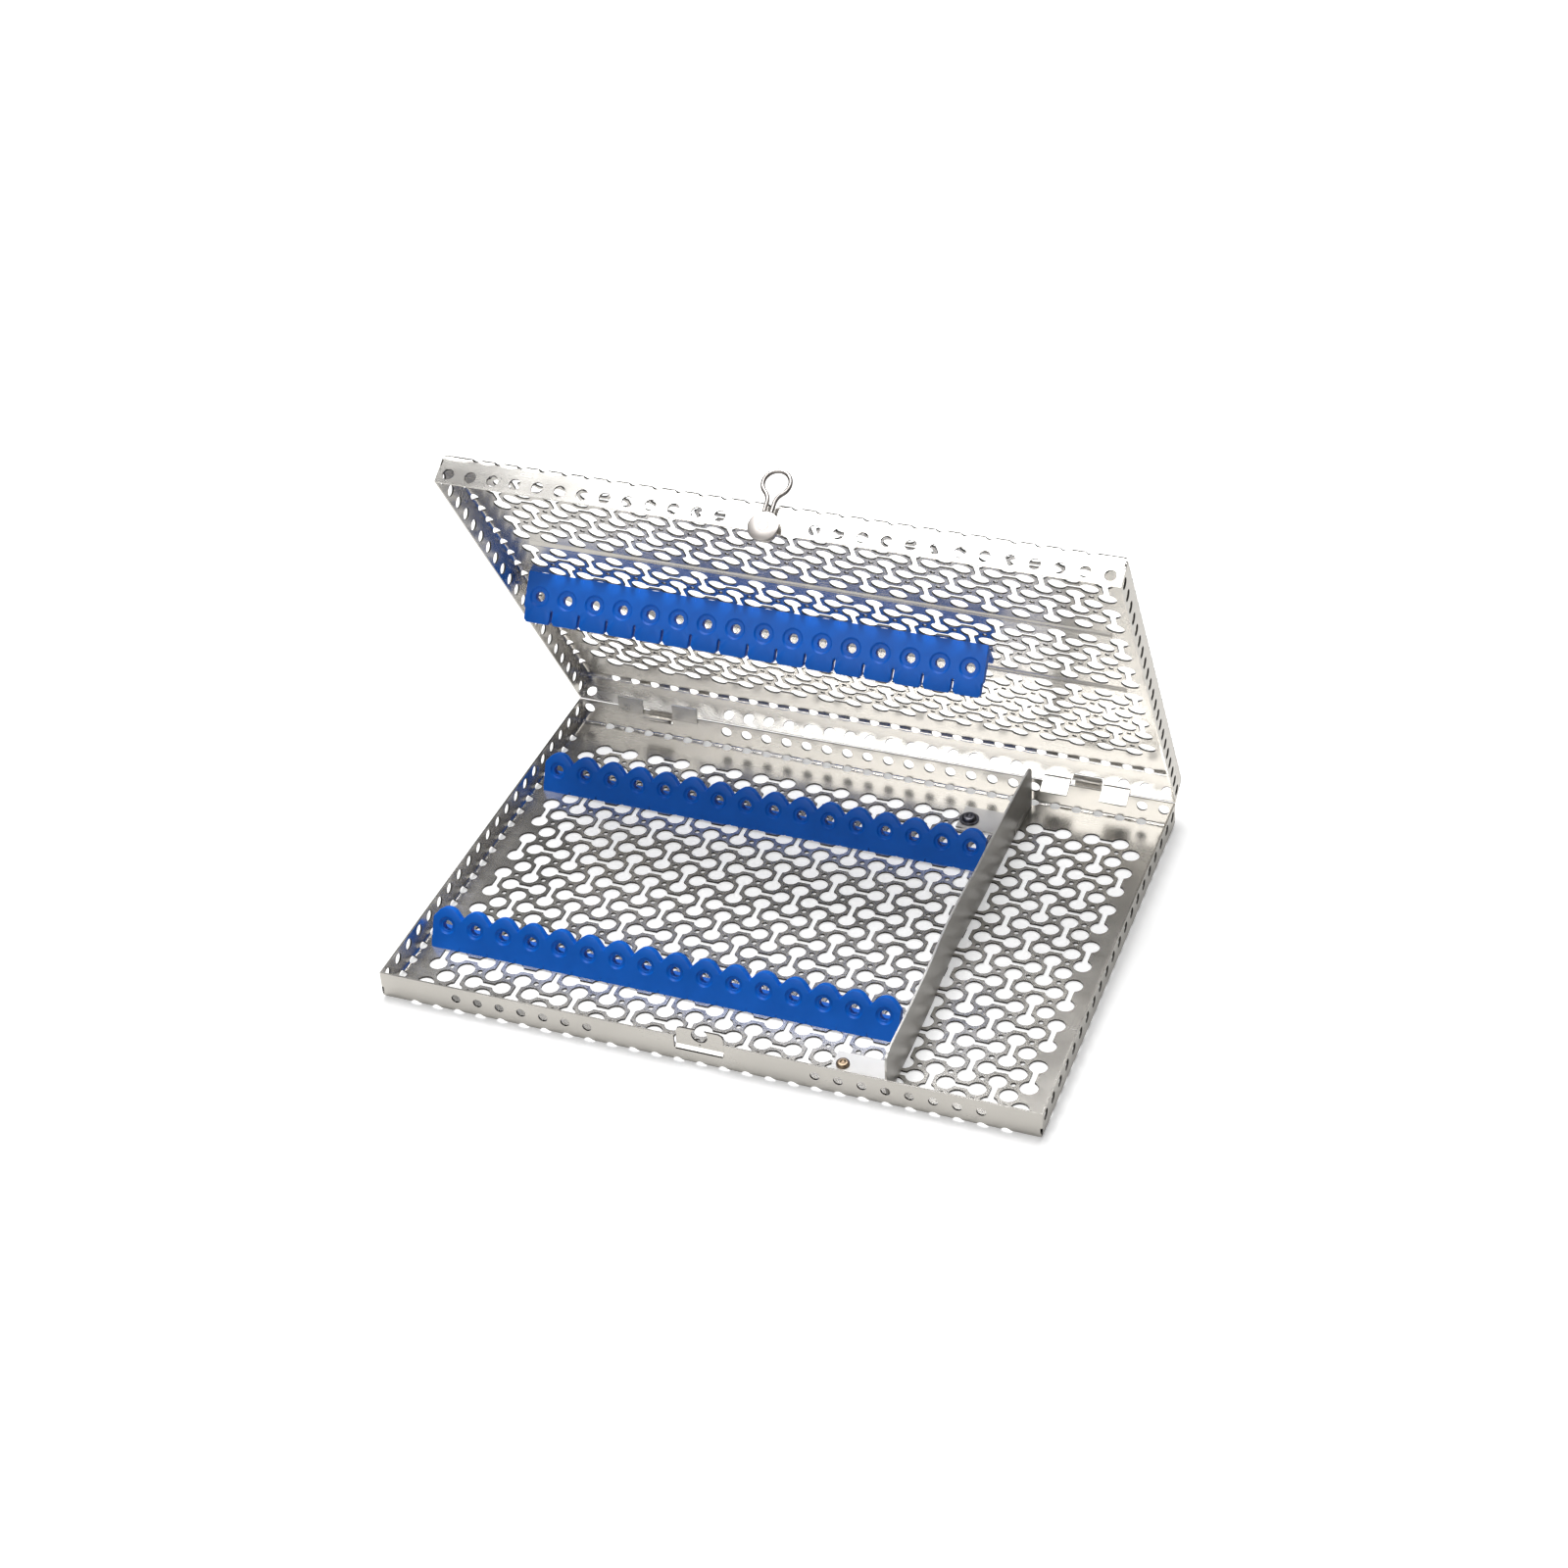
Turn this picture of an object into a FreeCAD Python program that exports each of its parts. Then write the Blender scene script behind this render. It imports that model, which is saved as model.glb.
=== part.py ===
import FreeCAD, Part
import Sketcher
import math
import os

from FreeCAD import Vector

# Instrument cassette: two perforated sheet trays hinged along the rear edge,
# silicone racks inside, a curved divider strip and a quarter-turn latch.
# X runs along the hinge, Y to the rear, Z up; the origin is under the centre of the base.
# Every piece is drawn in a tray's own frame, with y = 0 and z = 0 on the hinge axis,
# the floor below and the front wall at y = -TrayWidth. The lid is such a tray turned over.

doc = FreeCAD.newDocument("InstrumentCassette")
dims = doc.addObject("Spreadsheet::Sheet", "Dims")

cells = [
    ("TrayLength", 279.4, "length along the hinge"),
    ("TrayWidth", 203.2, "from the front wall to the hinge wall"),
    ("TrayDepth", 13.0, "height of one tray"),
    ("RimGap", 0.3, "gap between the two rims when closed"),
    ("Sheet", 0.8, "sheet thickness of both trays"),
    ("BendRadius", 2.0, "outer radius of the folded edges"),
    ("LidAngle", 59.0, "how far the lid stands open at rest, degrees"),
    ("HolePitch", 12.7, "grid pitch of the floor perforation"),
    ("LobeRadius", 3.8, "radius of a dog-bone's lobe"),
    ("WaistWidth", 2.4, "width of a dog-bone's waist"),
    ("WallHoleRadius", 2.5, "radius of the wall holes"),
    ("FrontHoleRadius", 2.0, "radius of the holes in the base's front wall"),
    ("WallHoleDrop", 4.5, "wall hole centres below the rim"),
    ("FrontHoleDrop", 5.5, "the base's front wall holes below the rim"),
    ("WallHoleCount", 29, "wall hole places along the length"),
    ("SideHoleCount", 21, "wall hole places along a side"),
    ("RibWidth", 4.5, "width of a stiffening rib of the lid"),
    ("RibHeight", 0.9, "how far a rib stands into the lid"),
    ("RibMargin", 15.0, "rib ends from the side walls"),
    ("TongueRadius", 4.4, "mean radius of a hinge tongue"),
    ("TongueWidth", 12.0, "width of the hinge tongues and guide tabs"),
    ("TonguePlace", 100.3, "tongue centre from the middle of the hinge wall"),
    ("TongueLap", 20.0, "how far a tongue runs past the top of its ring, degrees"),
    ("TabOffset", 13.2, "guide tab centres from the slot's centre"),
    ("TabRise", 6.6, "guide tab top above the rim"),
    ("TabInset", 1.1, "guide tab's outer face inside the wall's face"),
    ("SlotSide", 0.6, "side clearance of a hinge slot"),
    ("SlotGap", 0.7, "clearance of a tongue in its slot"),
    ("LatchRise", 1.2, "latch axis from the lid's rim"),
    ("EarRadius", 5.2, "round ear of the lid about the latch"),
    ("EarHoleRadius", 3.25, "hole of the ear"),
    ("CatchWidth", 20.0, "width of the catch tab"),
    ("CatchInset", 1.15, "catch tab's face inside the front face"),
    ("CatchTop", 4.0, "catch tab's top above the rim"),
    ("CatchHoleRadius", 3.5, "round part of the catch's keyhole"),
    ("CatchThroat", 4.4, "throat of the keyhole"),
    ("JogBottom", 7.3, "start of the catch tab's jog above the underside"),
    ("JogTop", 8.5, "end of the catch tab's jog above the underside"),
    ("NotchSide", 0.6, "gap beside the catch tab"),
    ("StudRadius", 3.1, "latch stud"),
    ("StudFlats", 3.6, "width across the stud's two flats"),
    ("StudHeadRadius", 4.1, "flange behind the catch"),
    ("StudHeadThickness", 1.0, "thickness of that flange"),
    ("StudHeadGap", 0.3, "flange's clearance behind the catch"),
    ("TenonRadius", 2.0, "stud's riveted end in the disc"),
    ("DiscRadius", 6.25, "latch disc"),
    ("DiscThickness", 1.2, "thickness of the latch disc"),
    ("DiscGap", 2.0, "latch disc from the lid's face"),
    ("SpacerRadius", 4.6, "washer between the disc and the ear"),
    ("SpacerBore", 3.2, "radius of the washer's hole"),
    ("SpacerGap", 0.1, "running gap of the washer on the ear"),
    ("LoopLength", 25.0, "end of the wire loop from the latch axis"),
    ("LoopWidth", 12.7, "outer width of the wire loop"),
    ("LoopNeck", 4.8, "outer width where the two wires meet the disc"),
    ("LoopFlare", 6.0, "radius by which the neck opens to the loop"),
    ("WireRadius", 0.9, "wire of the loop"),
    ("RackPitch", 12.8, "pitch of the instrument places"),
    ("RackPlaces", 16, "instrument places of a rack"),
    ("RackStart", 5.0, "left end of a rack from the tray's left end"),
    ("RackThickness", 3.6, "thickness of a rack"),
    ("RackHeight", 16.5, "height of a base rack over the floor"),
    ("RackLean", 24.0, "lean of a base rack to the rear, degrees"),
    ("NotchDepth", 4.5, "depth of a notch between two bumps"),
    ("BumpRadius", 5.4, "round top of a bump"),
    ("RackHoleRadius", 2.1, "round holes of a rack"),
    ("RackHoleRise", 9.3, "hole height over the floor"),
    ("FlangeDepth", 13.5, "depth of a rack's foot"),
    ("FlangeHeight", 2.0, "height of a rack's foot"),
    ("PegRadius", 2.3, "pegs of a rack pressed into the floor's holes"),
    ("FrontRackPlace", 34.5, "front rack from the front face"),
    ("RearRackPlace", 148.0, "rear rack from the front face"),
    ("LidRackPlace", 98.2, "lid rack from the front face"),
    ("LidRackHeight", 19.7, "height of the lid rack"),
    ("LidRackLean", 25.5, "lean of the lid rack to the hinge, degrees"),
    ("FingerLength", 6.5, "length of the lid rack's fingers"),
    ("FingerSlit", 1.0, "slit between two fingers"),
    ("DividerPlace", 216.0, "divider from the tray's left end"),
    ("DividerWave", 1.0, "swing of the divider's curve, 1 as photographed"),
    ("DividerSheet", 0.8, "thickness of the divider strip"),
    ("DividerTop", 23.0, "divider's top above the underside"),
    ("DividerLift", 0.3, "strip's lower edge above the floor"),
    ("DividerEnd", 3.5, "divider's ends from the outer faces"),
    ("DividerCorner", 5.0, "round top corners of the divider"),
    ("FootLength", 27.0, "length of a divider foot"),
    ("FootBend", 2.0, "outer radius of a foot's bend"),
    ("FrontFootPlace", 17.0, "middle of the front foot from the front face"),
    ("FrontFootWidth", 12.0, "width of the front foot"),
    ("RearFootPlace", 182.5, "middle of the rear foot from the front face"),
    ("RearFootWidth", 15.0, "width of the rear foot"),
    ("RivetPlace", 193.7, "rivets from the tray's left end"),
    ("FrontRivetPlace", 15.9, "front rivet from the front face"),
    ("RearRivetPlace", 181.0, "rear rivet from the front face"),
    ("RivetShank", 1.1, "shank of a rivet"),
    ("RivetFit", 0.05, "clearance round a rivet's shank"),
    ("RivetHeadHeight", 1.6, "height of a rivet's head"),
    ("FrontRivetHead", 2.75, "radius of the front rivet's head"),
    ("RearRivetHead", 3.2, "radius of the rear rivet's head"),
    ("WasherRadius", 4.3, "washer under the rear rivet's head"),
    ("WasherThickness", 0.8, "thickness of that washer"),
]
for number, (alias, value, note) in enumerate(cells, start=1):
    dims.set(f"A{number}", alias)
    dims.set(f"B{number}", str(value))
    dims.setAlias(f"B{number}", alias)
    dims.set(f"C{number}", note)
doc.recompute()


def size(alias):
    return float(dims.get(alias))


# heights and places of a tray's own frame that several pieces share
length = size("TrayLength")
width = size("TrayWidth")
sheet = size("Sheet")
pitch = size("HolePitch")
rim = -size("RimGap") / 2
underside = rim - size("TrayDepth")
floorTop = underside + sheet
left = -length / 2
front = -width
latchRise = size("LatchRise") + size("RimGap") / 2

hingePoint = "placement(vector(0; Dims.TrayWidth / 2; Dims.TrayDepth + Dims.RimGap / 2); "
baseFrame = hingePoint + "rotationx(0))"
lidFrame = hingePoint + "rotationx(-Dims.LidAngle) * rotationy(180))"
undersideOf = "(-Dims.TrayDepth - Dims.RimGap / 2)"
floorTopOf = "(Dims.Sheet - Dims.TrayDepth - Dims.RimGap / 2)"


def newBody(label, frame):
    body = doc.addObject("PartDesign::Body", label)
    body.Label = label
    body.setExpression("Placement", frame)
    return body


def newSketch(body, name, role, offset):
    """A sketch on an origin plane of the body, moved by a placement expression."""
    sketch = body.newObject("Sketcher::SketchObject", name)
    plane = next(item for item in body.Origin.OriginFeatures if item.Role == role)
    sketch.AttachmentSupport = [(plane, "")]
    sketch.MapMode = "FlatFace"
    sketch.setExpression("AttachmentOffset", f"placement({offset})")
    return sketch


def shift(x="0", y="0", z="0"):
    return f"vector({x}; {y}; {z}); rotationx(0)"


def drive(sketch, kind, ends, expression):
    """A dimension that follows the sheet."""
    sketch.addConstraint(Sketcher.Constraint(kind, *ends, valueOf(expression)))
    sketch.setExpression(f"Constraints[{sketch.ConstraintCount - 1}]", expression)


def valueOf(expression):
    return float(dims.evalExpression(expression.replace("Dims.", "")))


def polygon(sketch, points):
    for start, end in zip(points, points[1:] + points[:1]):
        sketch.addGeometry(line(start, end), False)


def rectangle(sketch, x, y, across, up):
    """A rectangle whose lower left corner and sizes are expressions on the sheet."""
    first = sketch.GeometryCount
    x0, y0, dx, dy = (valueOf(item) for item in (x, y, across, up))
    polygon(sketch, [(x0, y0), (x0 + dx, y0), (x0 + dx, y0 + dy), (x0, y0 + dy)])
    for edge in range(4):
        following = first + (edge + 1) % 4
        sketch.addConstraint(Sketcher.Constraint("Coincident", first + edge, 2, following, 1))
    for edge, kind in enumerate(["Horizontal", "Vertical", "Horizontal", "Vertical"]):
        sketch.addConstraint(Sketcher.Constraint(kind, first + edge))
    drive(sketch, "DistanceX", (first, 1, first, 2), across)
    drive(sketch, "DistanceY", (first + 1, 1, first + 1, 2), up)
    drive(sketch, "DistanceX", (-1, 1, first, 1), x)
    drive(sketch, "DistanceY", (-1, 1, first, 1), y)


def circle(sketch, x, y, radius):
    first = sketch.GeometryCount
    centre = Vector(valueOf(x), valueOf(y), 0)
    sketch.addGeometry(Part.Circle(centre, Vector(0, 0, 1), valueOf(radius)), False)
    drive(sketch, "Radius", (first,), radius)
    drive(sketch, "DistanceX", (-1, 1, first, 3), x)
    drive(sketch, "DistanceY", (-1, 1, first, 3), y)


def outline(sketch, edges):
    """Lines and arcs, end to end, that close on themselves."""
    for edge in edges:
        sketch.addGeometry(edge, False)


def line(start, end):
    return Part.LineSegment(Vector(*start, 0), Vector(*end, 0))


def arc(centre, radius, begin, end):
    ring = Part.Circle(Vector(*centre, 0), Vector(0, 0, 1), radius)
    return Part.ArcOfCircle(ring, math.radians(begin), math.radians(end))


def regular(x, y, radius, sides):
    turns = [2 * math.pi * (item + 0.5) / sides for item in range(sides)]
    return [(x + radius * math.cos(turn), y + radius * math.sin(turn)) for turn in turns]


def pad(body, name, sketch, thickness, middle=False, back=False):
    feature = body.newObject("PartDesign::Pad", name)
    feature.Profile = sketch
    feature.Refine = False
    feature.setExpression("Length", thickness)
    feature.Midplane = middle
    feature.Reversed = back
    doc.recompute()
    return feature


def pocket(body, name, sketch, thickness, middle=False, back=False):
    feature = body.newObject("PartDesign::Pocket", name)
    feature.Profile = sketch
    feature.Refine = False
    feature.setExpression("Length", thickness)
    feature.Midplane = middle
    feature.Reversed = back
    doc.recompute()
    return feature


def dogBone(x, y, upright):
    """Two lobes half a pitch from the middle, joined by a narrow waist."""
    reach = pitch / 2
    lobe = size("LobeRadius")
    half = size("WaistWidth") / 2
    neck = math.sqrt(lobe ** 2 - half ** 2)
    side = [(reach - neck, -half)]
    side += [(reach + lobe * math.cos(turn), lobe * math.sin(turn))
             for turn in (math.radians(angle) for angle in (-70, 0, 70))]
    side += [(reach - neck, half)]
    points = side + [(-a, -b) for a, b in side]
    if upright:
        points = [(-b, a) for a, b in points]
    return [(x + a, y + b) for a, b in points]


def floorHoles(body, skipped=()):
    """Some of the grid's dog-bones through the floor, so that the mesh stays small.

    Rows 3, 7 and 11 stand upright on every second column, the others lie level on every fourth.
    """
    sketch = newSketch(body, "FloorHoles", "XY_Plane", shift(z=undersideOf))
    columns = round(length / pitch)
    for row in range(1, round(width / pitch) - 1, 2):
        upright = row % 4 == 3
        if row in skipped:
            continue
        for column in range(2 if upright else 5, columns - 1, 2 if upright else 4):
            x = left + column * pitch
            y = front + (row + 0.5) * pitch
            polygon(sketch, dogBone(x, y, upright))
    pocket(body, "FloorHolesCut", sketch, "2 * Dims.Sheet", back=True)


def wallHoles(body, name, face, height, radius, places):
    """Hexagonal holes along the front or the hinge wall, at whole-number places."""
    step = length / size("WallHoleCount")
    atFront = face == "front"
    sketch = newSketch(body, name, "XZ_Plane", shift(z="Dims.TrayWidth") if atFront else shift())
    for place in places:
        polygon(sketch, regular(left + (place + 0.5) * step, height, radius, 6))
    pocket(body, name + "Cut", sketch, "2 * Dims.Sheet", back=not atFront)


def sideHoles(body):
    """One row of holes through both side walls at once."""
    step = width / size("SideHoleCount")
    sketch = newSketch(body, "SideHoles", "YZ_Plane", shift())
    for place in range(0, int(size("SideHoleCount")), 2):
        y = front + (place + 0.5) * step
        polygon(sketch, regular(y, rim - size("WallHoleDrop"), size("WallHoleRadius"), 6))
    pocket(body, "SideHolesCut", sketch, "2 * Dims.TrayLength", middle=True)


def trayShell(body):
    """A box with rounded folds, hollowed from above to the sheet's thickness."""
    sketch = newSketch(body, "Outline", "XY_Plane", shift(z=undersideOf))
    rectangle(sketch, "-Dims.TrayLength / 2", "-Dims.TrayWidth", "Dims.TrayLength", "Dims.TrayWidth")
    block = pad(body, "Block", sketch, "Dims.TrayDepth")
    folds = [f"Edge{number}" for number, edge in enumerate(block.Shape.Edges, start=1)
             if edge.BoundBox.ZMax < underside + sheet]
    rounded = body.newObject("PartDesign::Fillet", "Folds")
    rounded.Base = (block, folds)
    rounded.setExpression("Radius", "Dims.BendRadius")
    doc.recompute()
    top = [f"Face{number}" for number, face in enumerate(rounded.Shape.Faces, start=1)
           if face.BoundBox.ZMin > rim - 0.1]
    shell = body.newObject("PartDesign::Thickness", "Shell")
    shell.Base = (rounded, top)
    shell.setExpression("Value", "Dims.Sheet")
    shell.Reversed = True
    shell.Join = 0
    body.Tip = shell
    doc.recompute()
    return shell


def hingeSide(body):
    """Slot and guide tabs on the left of the hinge wall, C-shaped tongue on the right."""
    slot = newSketch(body, "HingeSlot", "XZ_Plane", shift())
    rectangle(slot, "-Dims.TonguePlace - Dims.TongueWidth / 2 - Dims.SlotSide",
              "-Dims.TongueRadius - Dims.Sheet / 2 - Dims.SlotGap",
              "Dims.TongueWidth + 2 * Dims.SlotSide", "Dims.Sheet + 2 * Dims.SlotGap")
    pocket(body, "HingeSlotCut", slot, "2 * Dims.Sheet", back=True)

    outer = -size("TabInset")
    inner = outer - sheet
    root = rim - 3 * sheet
    middle = -sheet / 2
    top = rim + size("TabRise")
    for name, sign in (("LeftTab", "-"), ("RightTab", "+")):
        tab = newSketch(body, name, "YZ_Plane", shift(z=f"-Dims.TonguePlace {sign} Dims.TabOffset"))
        polygon(tab, [(middle, root), (-sheet, root), (inner, root + size("TabInset")), (inner, top),
                      (outer, top), (outer, rim - size("RimGap")), (middle, rim - size("RimGap"))])
        pad(body, name + "Pad", tab, "Dims.TongueWidth", middle=True)

    tongue = newSketch(body, "Tongue", "YZ_Plane", shift(z="Dims.TonguePlace"))
    mean = size("TongueRadius")
    inside = mean - sheet / 2
    outside = mean + sheet / 2
    begin = -90 - math.degrees(math.asin(sheet / 2 / mean))
    end = 90 + size("TongueLap")

    def at(radius, angle):
        return (radius * math.cos(math.radians(angle)), radius * math.sin(math.radians(angle)))

    outline(tongue, [arc((0, 0), outside, begin, end), line(at(outside, end), at(inside, end)),
                     arc((0, 0), inside, begin, end), line(at(inside, begin), at(outside, begin))])
    pad(body, "TonguePad", tongue, "Dims.TongueWidth", middle=True)


def catchTab(body):
    """The base's catch: a tab jogged inside the front wall, with an open keyhole."""
    notch = newSketch(body, "CatchNotch", "XZ_Plane", shift(z="Dims.TrayWidth"))
    rectangle(notch, "-Dims.CatchWidth / 2 - Dims.NotchSide", undersideOf + " + Dims.JogBottom",
              "Dims.CatchWidth + 2 * Dims.NotchSide", "Dims.TrayDepth")
    pocket(body, "CatchNotchCut", notch, "2 * Dims.Sheet")
    tab = newSketch(body, "CatchTab", "YZ_Plane", shift())
    inset = front + size("CatchInset")
    low = underside + size("JogBottom")
    high = underside + size("JogTop")
    top = rim + size("CatchTop")
    polygon(tab, [(front, low - sheet), (front + sheet, low - sheet), (front + sheet, low),
                  (inset + sheet, high), (inset + sheet, top), (inset, top), (inset, high),
                  (front, low)])
    pad(body, "CatchTabPad", tab, "Dims.CatchWidth", middle=True)
    key = newSketch(body, "Keyhole", "XZ_Plane", shift(z="Dims.TrayWidth"))
    circle(key, "0", "Dims.LatchRise + Dims.RimGap / 2", "Dims.CatchHoleRadius")
    pocket(body, "KeyholeCut", key, "2 * (Dims.CatchInset + Dims.Sheet)")
    throat = newSketch(body, "Throat", "XZ_Plane", shift(z="Dims.TrayWidth"))
    rectangle(throat, "-Dims.CatchThroat / 2", "Dims.LatchRise + Dims.RimGap / 2",
              "Dims.CatchThroat", "Dims.CatchTop + Dims.CatchHoleRadius")
    pocket(body, "ThroatCut", throat, "2 * (Dims.CatchInset + Dims.Sheet)")


def lidEar(body):
    """The lid's round ear that carries the latch."""
    ear = newSketch(body, "Ear", "XZ_Plane", shift(z="Dims.TrayWidth"))
    circle(ear, "0", "-Dims.LatchRise - Dims.RimGap / 2", "Dims.EarRadius")
    pad(body, "EarPad", ear, "Dims.Sheet", back=True)
    hole = newSketch(body, "EarHole", "XZ_Plane", shift(z="Dims.TrayWidth"))
    circle(hole, "0", "-Dims.LatchRise - Dims.RimGap / 2", "Dims.EarHoleRadius")
    pocket(body, "EarHoleCut", hole, "2 * Dims.Sheet")


def lidRibs(body, rows):
    """Pressed ribs along the lid: a ridge inside and a groove outside, on hole rows."""
    for row in rows:
        place = f"-Dims.TrayWidth + {row + 0.5} * Dims.HolePitch - Dims.RibWidth / 2"
        span = "Dims.TrayLength - 2 * Dims.RibMargin"
        ridge = newSketch(body, f"Rib{row}", "XY_Plane", shift(z=floorTopOf))
        rectangle(ridge, "-Dims.TrayLength / 2 + Dims.RibMargin", place, span, "Dims.RibWidth")
        pad(body, f"Rib{row}Pad", ridge, "Dims.RibHeight")
        groove = newSketch(body, f"Groove{row}", "XY_Plane", shift(z=undersideOf))
        rectangle(groove, "-Dims.TrayLength / 2 + Dims.RibMargin + Dims.Sheet",
                  place + " + Dims.Sheet", span + " - 2 * Dims.Sheet", "Dims.RibWidth - 2 * Dims.Sheet")
        pocket(body, f"Groove{row}Cut", groove, "Dims.RibHeight", back=True)


def baseTray():
    body = newBody("base_tray", baseFrame)
    trayShell(body)
    hingeSide(body)
    catchTab(body)
    wallHoles(body, "FrontHoles", "front", rim - size("FrontHoleDrop"), size("FrontHoleRadius"),
              [3, 5, 7, 9, 19, 21, 23, 25])
    wallHoles(body, "RearHoles", "rear", rim - size("WallHoleDrop"), size("WallHoleRadius"),
              [0] + list(range(8, 23, 2)) + [26, 28])
    sideHoles(body)
    rivets = newSketch(body, "RivetHoles", "XY_Plane", shift(z=undersideOf))
    for name in ("Front", "Rear"):
        circle(rivets, "Dims.RivetPlace - Dims.TrayLength / 2",
               f"Dims.{name}RivetPlace - Dims.TrayWidth", "Dims.RivetShank + Dims.RivetFit")
    pocket(body, "RivetHolesCut", rivets, "2 * Dims.Sheet", back=True)
    floorHoles(body)
    return body


def lidTray():
    body = newBody("lid_tray", lidFrame)
    trayShell(body)
    hingeSide(body)
    lidEar(body)
    lidRibs(body, (5, 9))
    wallHoles(body, "FrontHoles", "front", rim - size("WallHoleDrop"), size("WallHoleRadius"),
              list(range(1, 12, 2)) + list(range(17, 28, 2)))
    wallHoles(body, "RearHoles", "rear", rim - size("WallHoleDrop"), size("WallHoleRadius"),
              [0, 2] + list(range(8, 21, 2)) + [28])
    sideHoles(body)
    floorHoles(body, (5, 9))
    return body


def trimBlade(body, begin, place):
    """Takes off the leaning blade's lower rear edge, level with the floor."""
    trim = newSketch(body, "Trim", "XY_Plane", shift(z=floorTopOf))
    rectangle(trim, begin, f"{place} - Dims.TrayWidth - Dims.RackThickness",
              "Dims.RackPitch * Dims.RackPlaces", "3 * Dims.RackThickness")
    pocket(body, "TrimCut", trim, "Dims.RackThickness")


def rackFoot(body, place, holeRow):
    """The foot that lies on the floor and its pegs through a row of floor holes."""
    trimBlade(body, "Dims.RackStart - Dims.TrayLength / 2", place)
    foot = newSketch(body, "Foot", "XY_Plane", shift(z=floorTopOf))
    rectangle(foot, "Dims.RackStart - Dims.TrayLength / 2", f"{place} - Dims.TrayWidth",
              "Dims.RackPitch * Dims.RackPlaces", "Dims.FlangeDepth")
    pad(body, "FootPad", foot, "Dims.FlangeHeight")
    pegs = newSketch(body, "Pegs", "XY_Plane", shift(z=floorTopOf))
    for column in range(2, 16, 2):
        polygon(pegs, regular(left + column * pitch, front + holeRow * pitch, size("PegRadius"), 6))
    pad(body, "PegsPad", pegs, "0.8 * Dims.Sheet", back=True)


def rackHoles(body, name, tilted, start, rise, radius, thickness):
    """A round hole under each place of a rack."""
    sketch = newSketch(body, name, "XZ_Plane", tilted)
    for place in range(int(size("RackPlaces"))):
        polygon(sketch, regular(start + (place + 0.5) * size("RackPitch"), rise, radius, 8))
    pocket(body, name + "Cut", sketch, thickness)


def tiltedPlane(place, lean):
    """The face of a leaning rack: its origin is the lower front edge."""
    return (f"vector(0; {floorTopOf}; Dims.TrayWidth - {place}); "
            f"rotationx(-{lean})")


def bumpRack(label, place, holeRow):
    """A base rack: a leaning blade with round bumps and notches along its top."""
    body = newBody(label, baseFrame)
    tilted = tiltedPlane(place, "Dims.RackLean")
    lean = math.radians(size("RackLean"))
    step = size("RackPitch")
    start = left + size("RackStart")
    top = size("RackHeight") / math.cos(lean)
    radius = size("BumpRadius")
    valley = top - size("NotchDepth")
    centre = top - radius
    # a flank runs from the notch to the round top, where it is tangent
    run = math.hypot(step / 2, centre - valley)
    toNotch = math.atan2(valley - centre, step / 2)
    touch = math.degrees(toNotch + math.acos(min(1.0, radius / run)))
    blade = newSketch(body, "Blade", "XZ_Plane", tilted)
    edges = []
    places = int(size("RackPlaces"))
    for number in range(places):
        middle = start + (number + 0.5) * step
        low = (middle - step / 2, valley)
        high = (middle + step / 2, valley)
        rise = (middle - radius * math.cos(math.radians(touch)),
                centre + radius * math.sin(math.radians(touch)))
        fall = (middle + radius * math.cos(math.radians(touch)), rise[1])
        edges += [line(low, rise), arc((middle, centre), radius, touch, 180 - touch), line(fall, high)]
    end = start + places * step
    edges += [line((end, valley), (end, 0)), line((end, 0), (start, 0)), line((start, 0), (start, valley))]
    outline(blade, edges)
    pad(body, "BladePad", blade, "Dims.RackThickness", back=True)
    rackFoot(body, place, holeRow)
    rise = size("RackHoleRise") / math.cos(lean)
    rackHoles(body, "Holes", tilted, start, rise, size("RackHoleRadius"), "2 * Dims.RackThickness")
    return body


def fingerRack():
    """The lid's rack: a leaning blade whose upper part is cut into square fingers."""
    body = newBody("lid_rack", lidFrame)
    tilted = tiltedPlane("Dims.LidRackPlace", "Dims.LidRackLean")
    lean = math.radians(size("LidRackLean"))
    rise = "Dims.LidRackHeight / cos(Dims.LidRackLean * 1deg)"
    blade = newSketch(body, "Blade", "XZ_Plane", tilted)
    begin = "Dims.TrayLength / 2 - Dims.RackStart - Dims.RackPitch * Dims.RackPlaces"
    rectangle(blade, begin, "0", "Dims.RackPitch * Dims.RackPlaces", rise)
    pad(body, "BladePad", blade, "Dims.RackThickness", back=True)
    trimBlade(body, begin, "Dims.LidRackPlace")
    foot = newSketch(body, "Foot", "XY_Plane", shift(z=floorTopOf))
    rectangle(foot, begin, "Dims.LidRackPlace - Dims.TrayWidth",
              "Dims.RackPitch * Dims.RackPlaces", "Dims.FlangeDepth")
    pad(body, "FootPad", foot, "Dims.FlangeHeight")
    slits = newSketch(body, "Slits", "XZ_Plane", tilted)
    start = valueOf(begin)
    half = size("FingerSlit") / 2
    low = valueOf(rise) - size("FingerLength")
    high = valueOf(rise) + size("FingerLength")
    for place in range(1, int(size("RackPlaces"))):
        x = start + place * size("RackPitch")
        polygon(slits, [(x - half, low), (x + half, low), (x + half, high), (x - half, high)])
    pocket(body, "SlitsCut", slits, "2 * Dims.RackThickness")
    rackHoles(body, "Holes", tilted, start, size("RackHoleRise") / math.cos(lean),
              size("RackHoleRadius"), "2 * Dims.RackThickness")
    return body


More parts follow.
